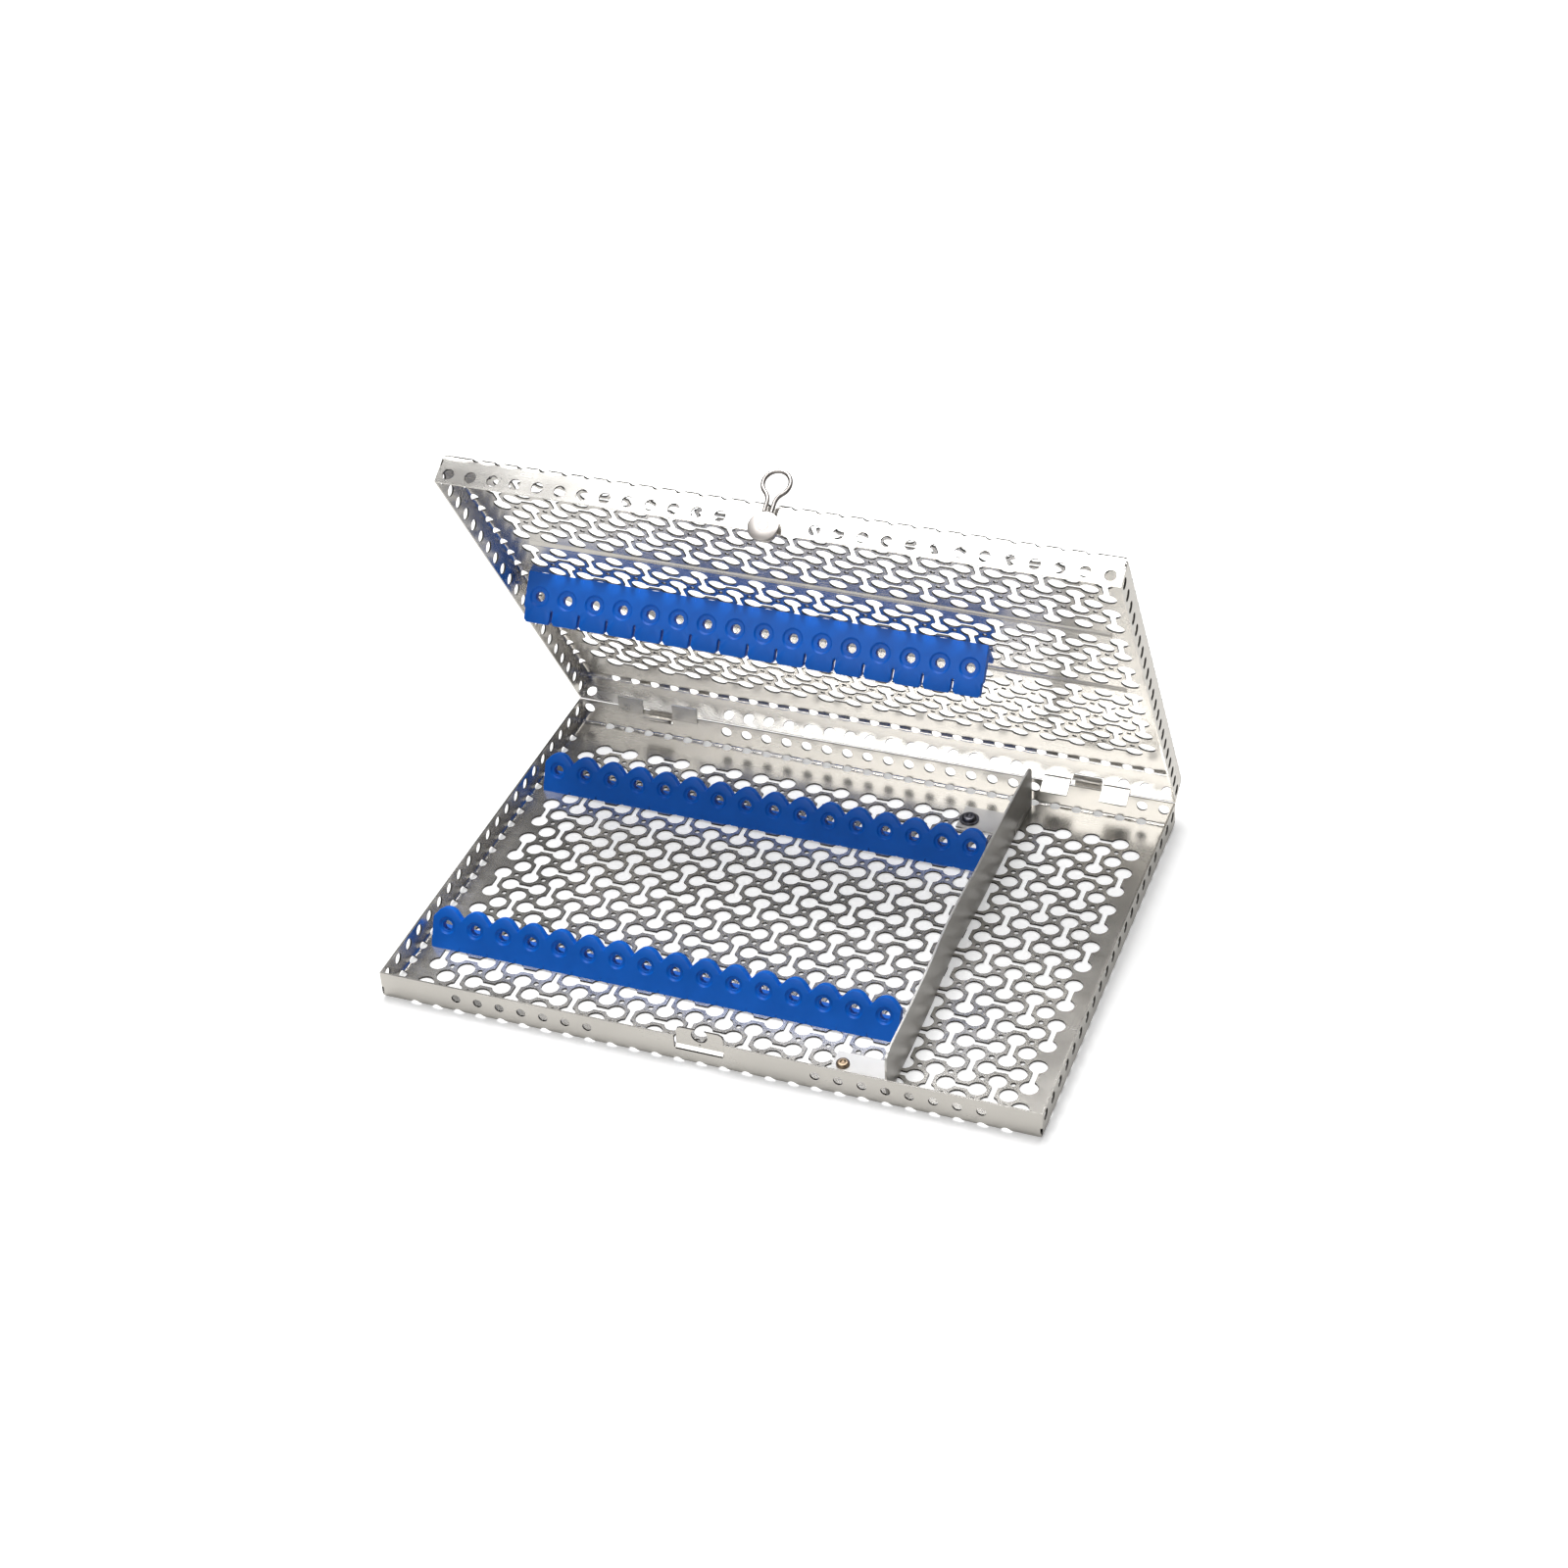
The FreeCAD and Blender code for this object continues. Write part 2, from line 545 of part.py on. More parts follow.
def divider():
    """A thin strip on edge that wanders sideways, with two feet bent along the floor."""
    body = newBody("compartment_divider", baseFrame)
    half = size("DividerSheet") / 2
    begin = front + size("DividerEnd")
    span = width - 2 * size("DividerEnd")
    middle = left + size("DividerPlace")
    swings = [(0, 0), (0.15, 0), (0.3, -0.6), (0.46, -1.8), (0.6, -1), (0.75, -0.8), (1, 0)]
    curve = [(middle + swing * size("DividerWave"), begin + share * span) for share, swing in swings]
    strip = newSketch(body, "Strip", "XY_Plane", shift(z=floorTopOf + " + Dims.DividerLift"))
    for side in (-half, half):
        points = [Vector(x + side, y, 0) for x, y in curve]
        for item in range(0, len(points) - 1, 2):
            strip.addGeometry(Part.Arc(*points[item:item + 3]), False)
    for x, y in (curve[0], curve[-1]):
        strip.addGeometry(line((x - half, y), (x + half, y)), False)
    upright = pad(body, "StripPad", strip, "Dims.DividerTop - Dims.Sheet - Dims.DividerLift")
    top = underside + size("DividerTop")
    corners = [f"Edge{number}" for number, edge in enumerate(upright.Shape.Edges, start=1)
               if edge.BoundBox.ZMin > top - 0.01 and edge.Length < 2 * size("DividerSheet")]
    rounded = body.newObject("PartDesign::Fillet", "TopCorners")
    rounded.Base = (upright, corners)
    rounded.setExpression("Radius", "Dims.DividerCorner")
    doc.recompute()
    bend = size("FootBend")
    inner = bend - size("DividerSheet")
    outer = middle + half
    for name in ("Front", "Rear"):
        foot = newSketch(body, name + "Foot", "XZ_Plane",
                         shift(z=f"Dims.TrayWidth - Dims.{name}FootPlace"))
        low = floorTop
        high = floorTop + size("DividerSheet")
        end = outer - size("FootLength")
        top = floorTop + 2 * bend
        outline(foot, [line((end, low), (outer - bend, low)),
                       arc((outer - bend, low + bend), bend, -90, 0),
                       line((outer, low + bend), (outer, top)),
                       line((outer, top), (outer - 2 * half, top)),
                       line((outer - 2 * half, top), (outer - 2 * half, low + bend)),
                       arc((outer - bend, low + bend), inner, -90, 0),
                       line((outer - bend, high), (end, high)),
                       line((end, high), (end, low))])
        pad(body, name + "FootPad", foot, f"Dims.{name}FootWidth", middle=True)
        hole = newSketch(body, name + "FootHole", "XY_Plane", shift(z=floorTopOf))
        circle(hole, "Dims.RivetPlace - Dims.TrayLength / 2",
               f"Dims.{name}RivetPlace - Dims.TrayWidth", "Dims.RivetShank + Dims.RivetFit")
        pocket(body, name + "FootHoleCut", hole, "2 * Dims.DividerSheet", back=True)
    return body


def rivet(label, name, seat):
    """A round-headed rivet through a foot and the floor, closed flush underneath."""
    body = newBody(label, baseFrame)
    x = "Dims.RivetPlace - Dims.TrayLength / 2"
    y = f"Dims.{name}RivetPlace - Dims.TrayWidth"
    shank = newSketch(body, "Shank", "XY_Plane", shift(z=seat))
    circle(shank, x, y, "Dims.RivetShank")
    pad(body, "ShankPad", shank, f"{seat} - {undersideOf} - Dims.RivetFit", back=True)
    head = newSketch(body, "Head", "XY_Plane", shift(z=seat))
    circle(head, x, y, f"Dims.{name}RivetHead")
    top = pad(body, "HeadPad", head, "Dims.RivetHeadHeight")
    crown = valueOf(seat) + size("RivetHeadHeight")
    edges = [f"Edge{number}" for number, edge in enumerate(top.Shape.Edges, start=1)
             if edge.BoundBox.ZMin > crown - 0.01]
    crowned = body.newObject("PartDesign::Chamfer", "Crown")
    crowned.Base = (top, edges)
    crowned.setExpression("Size", "Dims.RivetHeadHeight / 2")
    doc.recompute()
    return body


def ring(label, frame, role, offset, x, y, radius, bore, thickness, back=False):
    body = newBody(label, frame)
    sketch = newSketch(body, "Ring", role, offset)
    circle(sketch, x, y, radius)
    circle(sketch, x, y, bore)
    pad(body, "RingPad", sketch, thickness, back=back)
    return body


latchHeight = "-Dims.LatchRise - Dims.RimGap / 2"


def latchStud():
    """Double-D stud: flange behind the catch, flats through the ear, tenon in the disc."""
    body = newBody("latch_stud", lidFrame)
    radius = size("StudRadius")
    half = size("StudFlats") / 2
    corner = math.degrees(math.acos(half / radius))
    edge = math.sqrt(radius ** 2 - half ** 2)
    shaft = newSketch(body, "Shaft", "XZ_Plane", shift(z="Dims.TrayWidth + Dims.DiscGap"))
    outline(shaft, [arc((0, -latchRise), radius, corner, 180 - corner),
                    line((-half, edge - latchRise), (-half, -edge - latchRise)),
                    arc((0, -latchRise), radius, 180 + corner, 360 - corner),
                    line((half, -edge - latchRise), (half, edge - latchRise))])
    pad(body, "ShaftPad", shaft, "Dims.DiscGap + Dims.CatchInset + Dims.Sheet + Dims.StudHeadGap",
        back=True)
    head = newSketch(body, "Flange", "XZ_Plane",
                     shift(z="Dims.TrayWidth - Dims.CatchInset - Dims.Sheet - Dims.StudHeadGap"))
    circle(head, "0", latchHeight, "Dims.StudHeadRadius")
    pad(body, "FlangePad", head, "Dims.StudHeadThickness", back=True)
    tenon = newSketch(body, "Tenon", "XZ_Plane", shift(z="Dims.TrayWidth + Dims.DiscGap"))
    circle(tenon, "0", latchHeight, "Dims.TenonRadius")
    pad(body, "TenonPad", tenon, "Dims.DiscThickness")
    return body


def latchLoop():
    """A wire bent to a bulb: a narrow neck on the disc's rim that flares to a round loop."""
    feature = doc.addObject("Part::Feature", "latch_wire_loop")
    feature.Label = "latch_wire_loop"
    wire = size("WireRadius")
    neck = size("LoopNeck") / 2 - wire
    bulb = size("LoopWidth") / 2 - wire
    flare = size("LoopFlare")
    centre = size("LoopLength") - wire - bulb
    # the flare's arc touches the bulb's arc on the line between their centres
    aside = neck + flare
    shoulder = centre - math.sqrt((flare + bulb) ** 2 - aside ** 2)
    lean = math.atan2(centre - shoulder, aside)
    y = front - size("DiscGap") - size("DiscThickness") / 2
    rise = -latchRise

    def at(x, out):
        return Vector(x, y, rise - out)

    def flareAt(turn):
        return aside - flare * math.cos(turn), shoulder + flare * math.sin(turn)

    half = flareAt(lean / 2)
    join = flareAt(lean)
    path = Part.Wire([Part.LineSegment(at(neck, 0), at(neck, shoulder)).toShape(),
                      Part.Arc(at(neck, shoulder), at(*half), at(*join)).toShape(),
                      Part.Arc(at(*join), at(0, centre + bulb), at(-join[0], join[1])).toShape(),
                      Part.Arc(at(-join[0], join[1]), at(-half[0], half[1]),
                               at(-neck, shoulder)).toShape(),
                      Part.LineSegment(at(-neck, shoulder), at(-neck, 0)).toShape()])
    turns = [math.radians(45 * number) for number in range(9)]
    section = Part.makePolygon([at(neck, 0) + Vector(wire * math.cos(turn), wire * math.sin(turn), 0)
                                for turn in turns])
    bent = path.makePipeShell([section], True, False)
    disc = Part.makeCylinder(size("DiscRadius"), 4 * wire, Vector(0, y - 2 * wire, rise),
                             Vector(0, 1, 0))
    feature.Shape = bent.cut(disc)
    feature.setExpression("Placement", lidFrame)
    doc.recompute()
    return feature


def latchPieces():
    disc = ring("latch_disc", lidFrame, "XZ_Plane", shift(z="Dims.TrayWidth + Dims.DiscGap"),
                "0", latchHeight, "Dims.DiscRadius", "Dims.TenonRadius", "Dims.DiscThickness")
    washer = ring("latch_washer", lidFrame, "XZ_Plane", shift(z="Dims.TrayWidth + Dims.SpacerGap"),
                  "0", latchHeight, "Dims.SpacerRadius", "Dims.SpacerBore",
                  "Dims.DiscGap - Dims.SpacerGap")
    return [disc, washer, latchStud(), latchLoop()]


footTop = floorTopOf + " + Dims.DividerSheet"
pieces = [baseTray(), lidTray(),
          bumpRack("base_front_rack", "Dims.FrontRackPlace", 3),
          bumpRack("base_rear_rack", "Dims.RearRackPlace", 12),
          fingerRack(), divider(),
          rivet("divider_front_rivet", "Front", footTop),
          rivet("divider_rear_rivet", "Rear", footTop + " + Dims.WasherThickness"),
          ring("divider_rear_washer", baseFrame, "XY_Plane", shift(z=footTop),
               "Dims.RivetPlace - Dims.TrayLength / 2", "Dims.RearRivetPlace - Dims.TrayWidth",
               "Dims.WasherRadius", "Dims.RivetShank + Dims.RivetFit", "Dims.WasherThickness")]
pieces += latchPieces()
doc.recompute()

faults = [f"{item.Label}: {item.State}" for item in doc.Objects
          if "Invalid" in item.State or "Error" in item.State]
for piece in pieces:
    if piece.Shape.isNull() or not piece.Shape.isValid():
        faults.append(f"{piece.Label}: no valid shape")
if faults:
    raise SystemExit("\n".join(faults))

os.makedirs("parts", exist_ok=True)
for piece in pieces:
    piece.Shape.exportStep(f"parts/{piece.Label}.step")
    box = piece.Shape.BoundBox
    print(f"{piece.Label}: {len(piece.Shape.Solids)} solid, {piece.Shape.Volume:.0f} mm3, "
          f"x {box.XMin:.1f}..{box.XMax:.1f}, y {box.YMin:.1f}..{box.YMax:.1f}, "
          f"z {box.ZMin:.1f}..{box.ZMax:.1f}")
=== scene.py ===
import math

import bmesh
import bpy
from mathutils import Matrix, Vector


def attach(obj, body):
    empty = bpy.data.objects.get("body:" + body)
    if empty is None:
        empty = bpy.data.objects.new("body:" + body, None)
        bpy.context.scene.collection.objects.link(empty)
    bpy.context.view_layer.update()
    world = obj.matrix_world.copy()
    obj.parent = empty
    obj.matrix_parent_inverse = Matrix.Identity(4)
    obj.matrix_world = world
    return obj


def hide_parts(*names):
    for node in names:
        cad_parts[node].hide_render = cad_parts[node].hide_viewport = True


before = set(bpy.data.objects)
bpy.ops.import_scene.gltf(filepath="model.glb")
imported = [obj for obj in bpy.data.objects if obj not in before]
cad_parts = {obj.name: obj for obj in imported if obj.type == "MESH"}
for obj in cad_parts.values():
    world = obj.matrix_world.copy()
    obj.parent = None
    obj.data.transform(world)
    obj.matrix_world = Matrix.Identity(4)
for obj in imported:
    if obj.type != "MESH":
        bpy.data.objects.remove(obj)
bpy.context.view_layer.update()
print("frame loaded")

# All sheet pieces are drawn in a tray's own frame in millimetres: y = 0 and z = 0 on the
# hinge axis, the floor below, the front wall at y = -width. The lid is the same tray turned over.
tray = {
    "length": 279.4,
    "width": 203.2,
    "depth": 13.0,
    "rimGap": 0.3,
    "sheet": 0.8,
    "bend": 2.0,
    "lidAngle": 59.0,
    "gridPitch": 12.7,
    "floorRows": 15,
    "floorColumns": 21,
    "floorStrip": 2.2,  # floor that belongs to the folds' strips
    "lobeRadius": 3.8,
    "waistWidth": 2.4,
    "dotRadius": 1.1,
    "wallHoleRadius": 2.45,
    "frontHoleRadius": 2.0,
    "wallHoleDrop": 4.0,
    "frontHoleDrop": 5.4,
    "wallPlaces": 29,
    "sidePlaces": 21,
    "flatWall": 7.4,
    "longestCut": 6.0,  # an edge shorter than this is part of a hole, and gets the painted shade of the hole walls
    "foldHoleRadius": 2.3,
    "foldHolePlace": 0.7,  # how far round the fold the holes are centred
    "ribWidth": 4.5,
    "ribHeight": 0.9,
    "ribMargin": 15.0,
    "ribRows": (5, 9),
}

mm = 0.001
rim = -tray["rimGap"] / 2
underside = rim - tray["depth"]
floorTop = underside + tray["sheet"]
left = -tray["length"] / 2
front = -tray["width"]
hingeHeight = tray["depth"] + tray["rimGap"] / 2
baseFrame = Matrix.Translation((0, tray["width"] / 2 * mm, hingeHeight * mm)) @ Matrix.Scale(mm, 4)
turned = Matrix.Rotation(math.radians(-tray["lidAngle"]), 4, "X") @ Matrix.Rotation(math.pi, 4, "Y")
lidFrame = Matrix.Translation((0, tray["width"] / 2 * mm, hingeHeight * mm)) @ turned @ Matrix.Scale(mm, 4)


# Materials

def nodeMaterial(name, color, roughness, metallic):
    material = bpy.data.materials.new(name)
    material.use_nodes = True
    shader = material.node_tree.nodes["Principled BSDF"]
    shader.inputs["Base Color"].default_value = (*color, 1)
    shader.inputs["Roughness"].default_value = roughness
    shader.inputs["Metallic"].default_value = metallic
    return material, material.node_tree, shader


def addNoise(tree, scale, stretch=(1, 1, 1), detail=4):
    # Noise on object coordinates, in cycles per metre, stretched along an axis
    place = tree.nodes.new("ShaderNodeTexCoord")
    mapping = tree.nodes.new("ShaderNodeMapping")
    mapping.inputs["Scale"].default_value = stretch
    noise = tree.nodes.new("ShaderNodeTexNoise")
    noise.inputs["Scale"].default_value = scale
    noise.inputs["Detail"].default_value = detail
    tree.links.new(place.outputs["Object"], mapping.inputs["Vector"])
    tree.links.new(mapping.outputs["Vector"], noise.inputs["Vector"])
    return noise


def spread(tree, source, low, high):
    ramp = tree.nodes.new("ShaderNodeMapRange")
    ramp.inputs["To Min"].default_value = low
    ramp.inputs["To Max"].default_value = high
    tree.links.new(source, ramp.inputs["Value"])
    return ramp.outputs["Result"]


def addBump(tree, shader, source, strength, distance):
    bump = tree.nodes.new("ShaderNodeBump")
    bump.inputs["Strength"].default_value = strength
    bump.inputs["Distance"].default_value = distance
    tree.links.new(source, bump.inputs["Height"])
    tree.links.new(bump.outputs["Normal"], shader.inputs["Normal"])


def mixColors(tree, shader, source, dark, light):
    ramp = tree.nodes.new("ShaderNodeValToRGB")
    ramp.color_ramp.elements[0].position = 0.3
    ramp.color_ramp.elements[1].position = 0.7
    ramp.color_ramp.elements[0].color = (*dark, 1)
    ramp.color_ramp.elements[1].color = (*light, 1)
    tree.links.new(source, ramp.inputs["Fac"])
    tree.links.new(ramp.outputs["Color"], shader.inputs["Base Color"])


def steelFinish(name, color, roughness, grain):
    # Rolled stainless sheet: faint grain along the hinge, cloudy gloss, slight waviness
    material, tree, shader = nodeMaterial(name, color, roughness, 1.0)
    cloud = addNoise(tree, 35, detail=3)
    lines = addNoise(tree, 420, stretch=(0.04, 1, 1), detail=6)
    rough = tree.nodes.new("ShaderNodeMath")
    rough.operation = "MULTIPLY_ADD"
    tree.links.new(lines.outputs["Fac"], rough.inputs[0])
    rough.inputs[1].default_value = grain
    tree.links.new(spread(tree, cloud.outputs["Fac"], roughness - 0.06, roughness + 0.05), rough.inputs[2])
    tree.links.new(rough.outputs["Value"], shader.inputs["Roughness"])
    dark = tuple(channel * 0.9 for channel in color)
    mixColors(tree, shader, cloud.outputs["Fac"], dark, color)
    addBump(tree, shader, lines.outputs["Fac"], 0.03, 0.0002)
    paintCutShade(tree, shader)
    return material


def paintCutShade(tree, shader):
    # The punched walls of the holes are matt, and they are painted nearly black: painted shade that stands
    # in for the shade inside the holes
    cut = tree.nodes.new("ShaderNodeAttribute")
    cut.attribute_name = "cutEdge"
    # painted shade: the near-black colour on the hole walls stands in for shade, while the higher
    # roughness is their real matt finish
    dullAndShaded = (("Base Color", (0.09, 0.085, 0.08, 1)), ("Roughness", (0.6, 0.6, 0.6, 1)))
    for socket, value in dullAndShaded:
        source = shader.inputs[socket].links[0].from_socket
        mix = tree.nodes.new("ShaderNodeMixRGB")
        tree.links.new(cut.outputs["Fac"], mix.inputs["Fac"])
        tree.links.new(source, mix.inputs["Color1"])
        mix.inputs["Color2"].default_value = value
        tree.links.new(mix.outputs["Color"], shader.inputs[socket])


def siliconeFinish():
    # Moulded silicone: satin, slightly dusty, with a fine orange-peel surface
    material, tree, shader = nodeMaterial("blueSilicone", (0.002, 0.085, 0.42), 0.42, 0.0)
    cloud = addNoise(tree, 60, detail=5)
    mixColors(tree, shader, cloud.outputs["Fac"], (0.0, 0.115, 0.56), (0.0005, 0.14, 0.67))
    tree.links.new(spread(tree, cloud.outputs["Fac"], 0.34, 0.52), shader.inputs["Roughness"])
    shader.inputs["Specular IOR Level"].default_value = 0.3
    shader.inputs["Subsurface Weight"].default_value = 0.06
    shader.inputs["Subsurface Radius"].default_value = (0.001, 0.002, 0.004)
    peel = addNoise(tree, 900, detail=2)
    addBump(tree, shader, peel.outputs["Fac"], 0.12, 0.0002)
    return material


def rivetFinish(name, color, roughness):
    material, tree, shader = nodeMaterial(name, color, roughness, 1.0)
    speck = addNoise(tree, 700, detail=3)
    mixColors(tree, shader, speck.outputs["Fac"], tuple(channel * 0.6 for channel in color), color)
    addBump(tree, shader, speck.outputs["Fac"], 0.1, 0.0002)
    return material


traySteel = steelFinish("traySteel", (0.70, 0.68, 0.645), 0.22, 0.08)
stripSteel = steelFinish("stripSteel", (0.68, 0.67, 0.65), 0.32, 0.1)
latchSteel = steelFinish("latchSteel", (0.46, 0.43, 0.41), 0.38, 0.05)
blueSilicone = siliconeFinish()
brownRivet = rivetFinish("brownRivet", (0.48, 0.36, 0.25), 0.4)
darkRivet = rivetFinish("darkRivet", (0.16, 0.16, 0.18), 0.35)
print("materials made")


# Mesh helpers

def meshPiece(name, mesh, matrix, material, body, nodes=()):
    # A finished piece: its place in its mesh, riding on its body
    mesh.transform(matrix)
    mesh.materials.clear()
    mesh.materials.append(material)
    mesh.shade_smooth()
    mesh.set_sharp_from_angle(angle=math.radians(32))
    piece = bpy.data.objects.new(name, mesh)
    bpy.context.scene.collection.objects.link(piece)
    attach(piece, body)
    if nodes:
        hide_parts(*nodes)


def joinMeshes(name, meshes):
    joined = bmesh.new()
    for mesh in meshes:
        joined.from_mesh(mesh)
    made = bpy.data.meshes.new(name)
    joined.to_mesh(made)
    joined.free()
    return made


def evaluated(holder, name):
    bpy.context.view_layer.update()
    graph = bpy.context.evaluated_depsgraph_get()
    made = bpy.data.meshes.new_from_object(holder.evaluated_get(graph), depsgraph=graph)
    made.name = name
    bpy.data.objects.remove(holder)
    return made


def outlineCurve(name, loops):
    # A curve object of closed straight-sided loops in the XY plane
    curve = bpy.data.curves.new(name, "CURVE")
    curve.dimensions = "3D"
    for loop in loops:
        spline = curve.splines.new("POLY")
        spline.points.add(len(loop) - 1)
        for point, (x, y) in zip(spline.points, loop):
            point.co = (x, y, 0, 1)
        spline.use_cyclic_u = True
    holder = bpy.data.objects.new(name, curve)
    bpy.context.scene.collection.objects.link(holder)
    return holder


def ringPoints(radius, count, x=0.0, y=0.0):
    turns = [2 * math.pi * number / count for number in range(count)]
    return [(x + radius * math.cos(turn), y + radius * math.sin(turn)) for turn in turns]


def rectanglePoints(x0, y0, x1, y1):
    return [(x0, y0), (x1, y0), (x1, y1), (x0, y1)]


def dogBonePoints(arcSteps=14):
    # Two round lobes joined by a waist, along x
    reach = tray["gridPitch"] / 2
    lobe = tray["lobeRadius"]
    half = tray["waistWidth"] / 2
    begin = math.pi - math.asin(half / lobe)
    turns = [-begin + 2 * begin * step / arcSteps for step in range(arcSteps + 1)]
    side = [(reach + lobe * math.cos(turn), lobe * math.sin(turn)) for turn in turns]
    return side + [(-x, -y) for x, y in side]


# Perforation: hole curves set on points, filled up to the outline

def perforationTree():
    tree = bpy.data.node_groups.new("perforation", "GeometryNodeTree")
    face = tree.interface
    face.new_socket("Geometry", in_out="INPUT", socket_type="NodeSocketGeometry")
    face.new_socket("Outline", in_out="INPUT", socket_type="NodeSocketObject")
    face.new_socket("Dog Bone", in_out="INPUT", socket_type="NodeSocketObject")
    face.new_socket("Dot", in_out="INPUT", socket_type="NodeSocketObject")
    face.new_socket("Finish", in_out="INPUT", socket_type="NodeSocketMaterial")
    face.new_socket("Geometry", in_out="OUTPUT", socket_type="NodeSocketGeometry")
    nodes = tree.nodes
    link = tree.links.new
    inward = nodes.new("NodeGroupInput")
    outward = nodes.new("NodeGroupOutput")

    def shape(socket):
        info = nodes.new("GeometryNodeObjectInfo")
        link(inward.outputs[socket], info.inputs["Object"])
        return info.outputs["Geometry"]

    def attribute(name, kind):
        named = nodes.new("GeometryNodeInputNamedAttribute")
        named.data_type = kind
        named.inputs["Name"].default_value = name
        return named.outputs["Attribute"]

    joined = []
    for socket, kind in (("Dog Bone", 0), ("Dot", 1)):
        same = nodes.new("FunctionNodeCompare")
        same.data_type = "INT"
        same.operation = "EQUAL"
        link(attribute("kind", "INT"), same.inputs[2])
        same.inputs[3].default_value = kind
        place = nodes.new("GeometryNodeInstanceOnPoints")
        link(inward.outputs["Geometry"], place.inputs["Points"])
        link(same.outputs["Result"], place.inputs["Selection"])
        link(shape(socket), place.inputs["Instance"])
        turn = nodes.new("ShaderNodeCombineXYZ")
        link(attribute("turn", "FLOAT"), turn.inputs["Z"])
        euler = nodes.new("FunctionNodeEulerToRotation")
        link(turn.outputs["Vector"], euler.inputs["Euler"])
        link(euler.outputs["Rotation"], place.inputs["Rotation"])
        size = nodes.new("ShaderNodeCombineXYZ")
        for axis in "XYZ":
            link(attribute("size", "FLOAT"), size.inputs[axis])
        link(size.outputs["Vector"], place.inputs["Scale"])
        joined.append(place.outputs["Instances"])
    everything = nodes.new("GeometryNodeJoinGeometry")
    for source in joined + [shape("Outline")]:
        link(source, everything.inputs["Geometry"])
    real = nodes.new("GeometryNodeRealizeInstances")
    fill = nodes.new("GeometryNodeFillCurve")
    finish = nodes.new("GeometryNodeSetMaterial")
    link(everything.outputs["Geometry"], real.inputs["Geometry"])
    link(real.outputs["Geometry"], fill.inputs["Curve"])
    link(fill.outputs["Mesh"], finish.inputs["Geometry"])
    link(inward.outputs["Finish"], finish.inputs["Material"])
    link(finish.outputs["Geometry"], outward.inputs["Geometry"])
    return tree


perforation = perforationTree()


def roundHole(x, y, radius):
    return (x, y, 1, 0, radius)


def perforated(name, loops, holes, thickness):
    # A flat sheet in the XY plane, from z = 0 up. A hole is (x, y, kind, turn, size), and its kind
    # is 0 for a dog-bone and 1 for a round one.
    points = bpy.data.meshes.new(name + "Points")
    points.from_pydata([(x, y, 0) for x, y, *_ in holes], [], [])
    for title, kind, column in (("kind", "INT", 2), ("turn", "FLOAT", 3), ("size", "FLOAT", 4)):
        values = points.attributes.new(title, kind, "POINT")
        for number, hole in enumerate(holes):
            values.data[number].value = hole[column]
    holder = bpy.data.objects.new(name, points)
    bpy.context.scene.collection.objects.link(holder)
    outline = outlineCurve(name + "Outline", loops)
    bone = outlineCurve(name + "Bone", [dogBonePoints()])
    dot = outlineCurve(name + "Dot", [ringPoints(1.0, 20)])
    modifier = holder.modifiers.new("Perforation", "NODES")
    modifier.node_group = perforation
    inputs = {"Outline": outline, "Dog Bone": bone, "Dot": dot, "Finish": traySteel}
    for item in perforation.interface.items_tree:
        if item.in_out == "INPUT" and item.name in inputs:
            modifier[item.identifier] = inputs[item.name]
    flat = evaluated(holder, name)
    for shape in (outline, bone, dot):
        bpy.data.objects.remove(shape)
    work = bmesh.new()
    work.from_mesh(flat)
    bmesh.ops.remove_doubles(work, verts=work.verts, dist=0.001)
    bmesh.ops.recalc_face_normals(work, faces=work.faces)
    if work.faces and work.faces[0].normal.z > 0:
        bmesh.ops.reverse_faces(work, faces=work.faces)
    rims = [edge for edge in work.edges if edge.is_boundary]
    lower = list(work.faces)
    upper = bmesh.ops.duplicate(work, geom=lower)
    lifted = [item for item in upper["geom"] if isinstance(item, bmesh.types.BMVert)]
    bmesh.ops.translate(work, verts=lifted, vec=(0, 0, thickness))
    flipped = [item for item in upper["geom"] if isinstance(item, bmesh.types.BMFace)]
    bmesh.ops.reverse_faces(work, faces=flipped)
    twin = upper["vert_map"]
    for edge in rims:
        loop = edge.link_loops[0]
        one, two = loop.vert, loop.link_loop_next.vert
        wall = work.faces.new((two, one, twin[one], twin[two]))
        wall.material_index = int(edge.calc_length() < tray["longestCut"])
    work.to_mesh(flat)
    work.free()
    return flat


def floorHoles(ribRows):
    # A basket weave: dog-bones level and upright by turns, dots between, plain along the ribs
    pitch = tray["gridPitch"]
    lobe = tray["lobeRadius"]
    rows, columns = tray["floorRows"], tray["floorColumns"]
    holes = []
    for row in range(rows):
        for column in range(1, columns + 1):
            x = left + column * pitch
            y = front + (row + 0.5) * pitch
            upright = (row + column) % 2 == 1
            if row in ribRows:
                if upright:
                    holes += [roundHole(x, y + side * pitch / 2, lobe) for side in (-1, 1)]
            elif upright and row == 0:
                holes.append(roundHole(x, y + pitch / 2, lobe))
            elif upright and row == rows - 1:
                holes.append(roundHole(x, y - pitch / 2, lobe))
            elif upright:
                holes.append((x, y, 0, math.pi / 2, 1))
            elif row == 0:
                continue
            elif column in (1, columns):
                inner = x + (pitch / 2 if column == 1 else -pitch / 2)
                holes.append(roundHole(inner, y, lobe))
            else:
                holes.append((x, y, 0, 0, 1))
    for row in range(1, rows):
        if row in ribRows or row - 1 in ribRows:
            continue
        for column in range(1, columns):
            x = left + (column + 0.5) * pitch
            holes.append(roundHole(x, front + row * pitch, tray["dotRadius"]))
    return holes


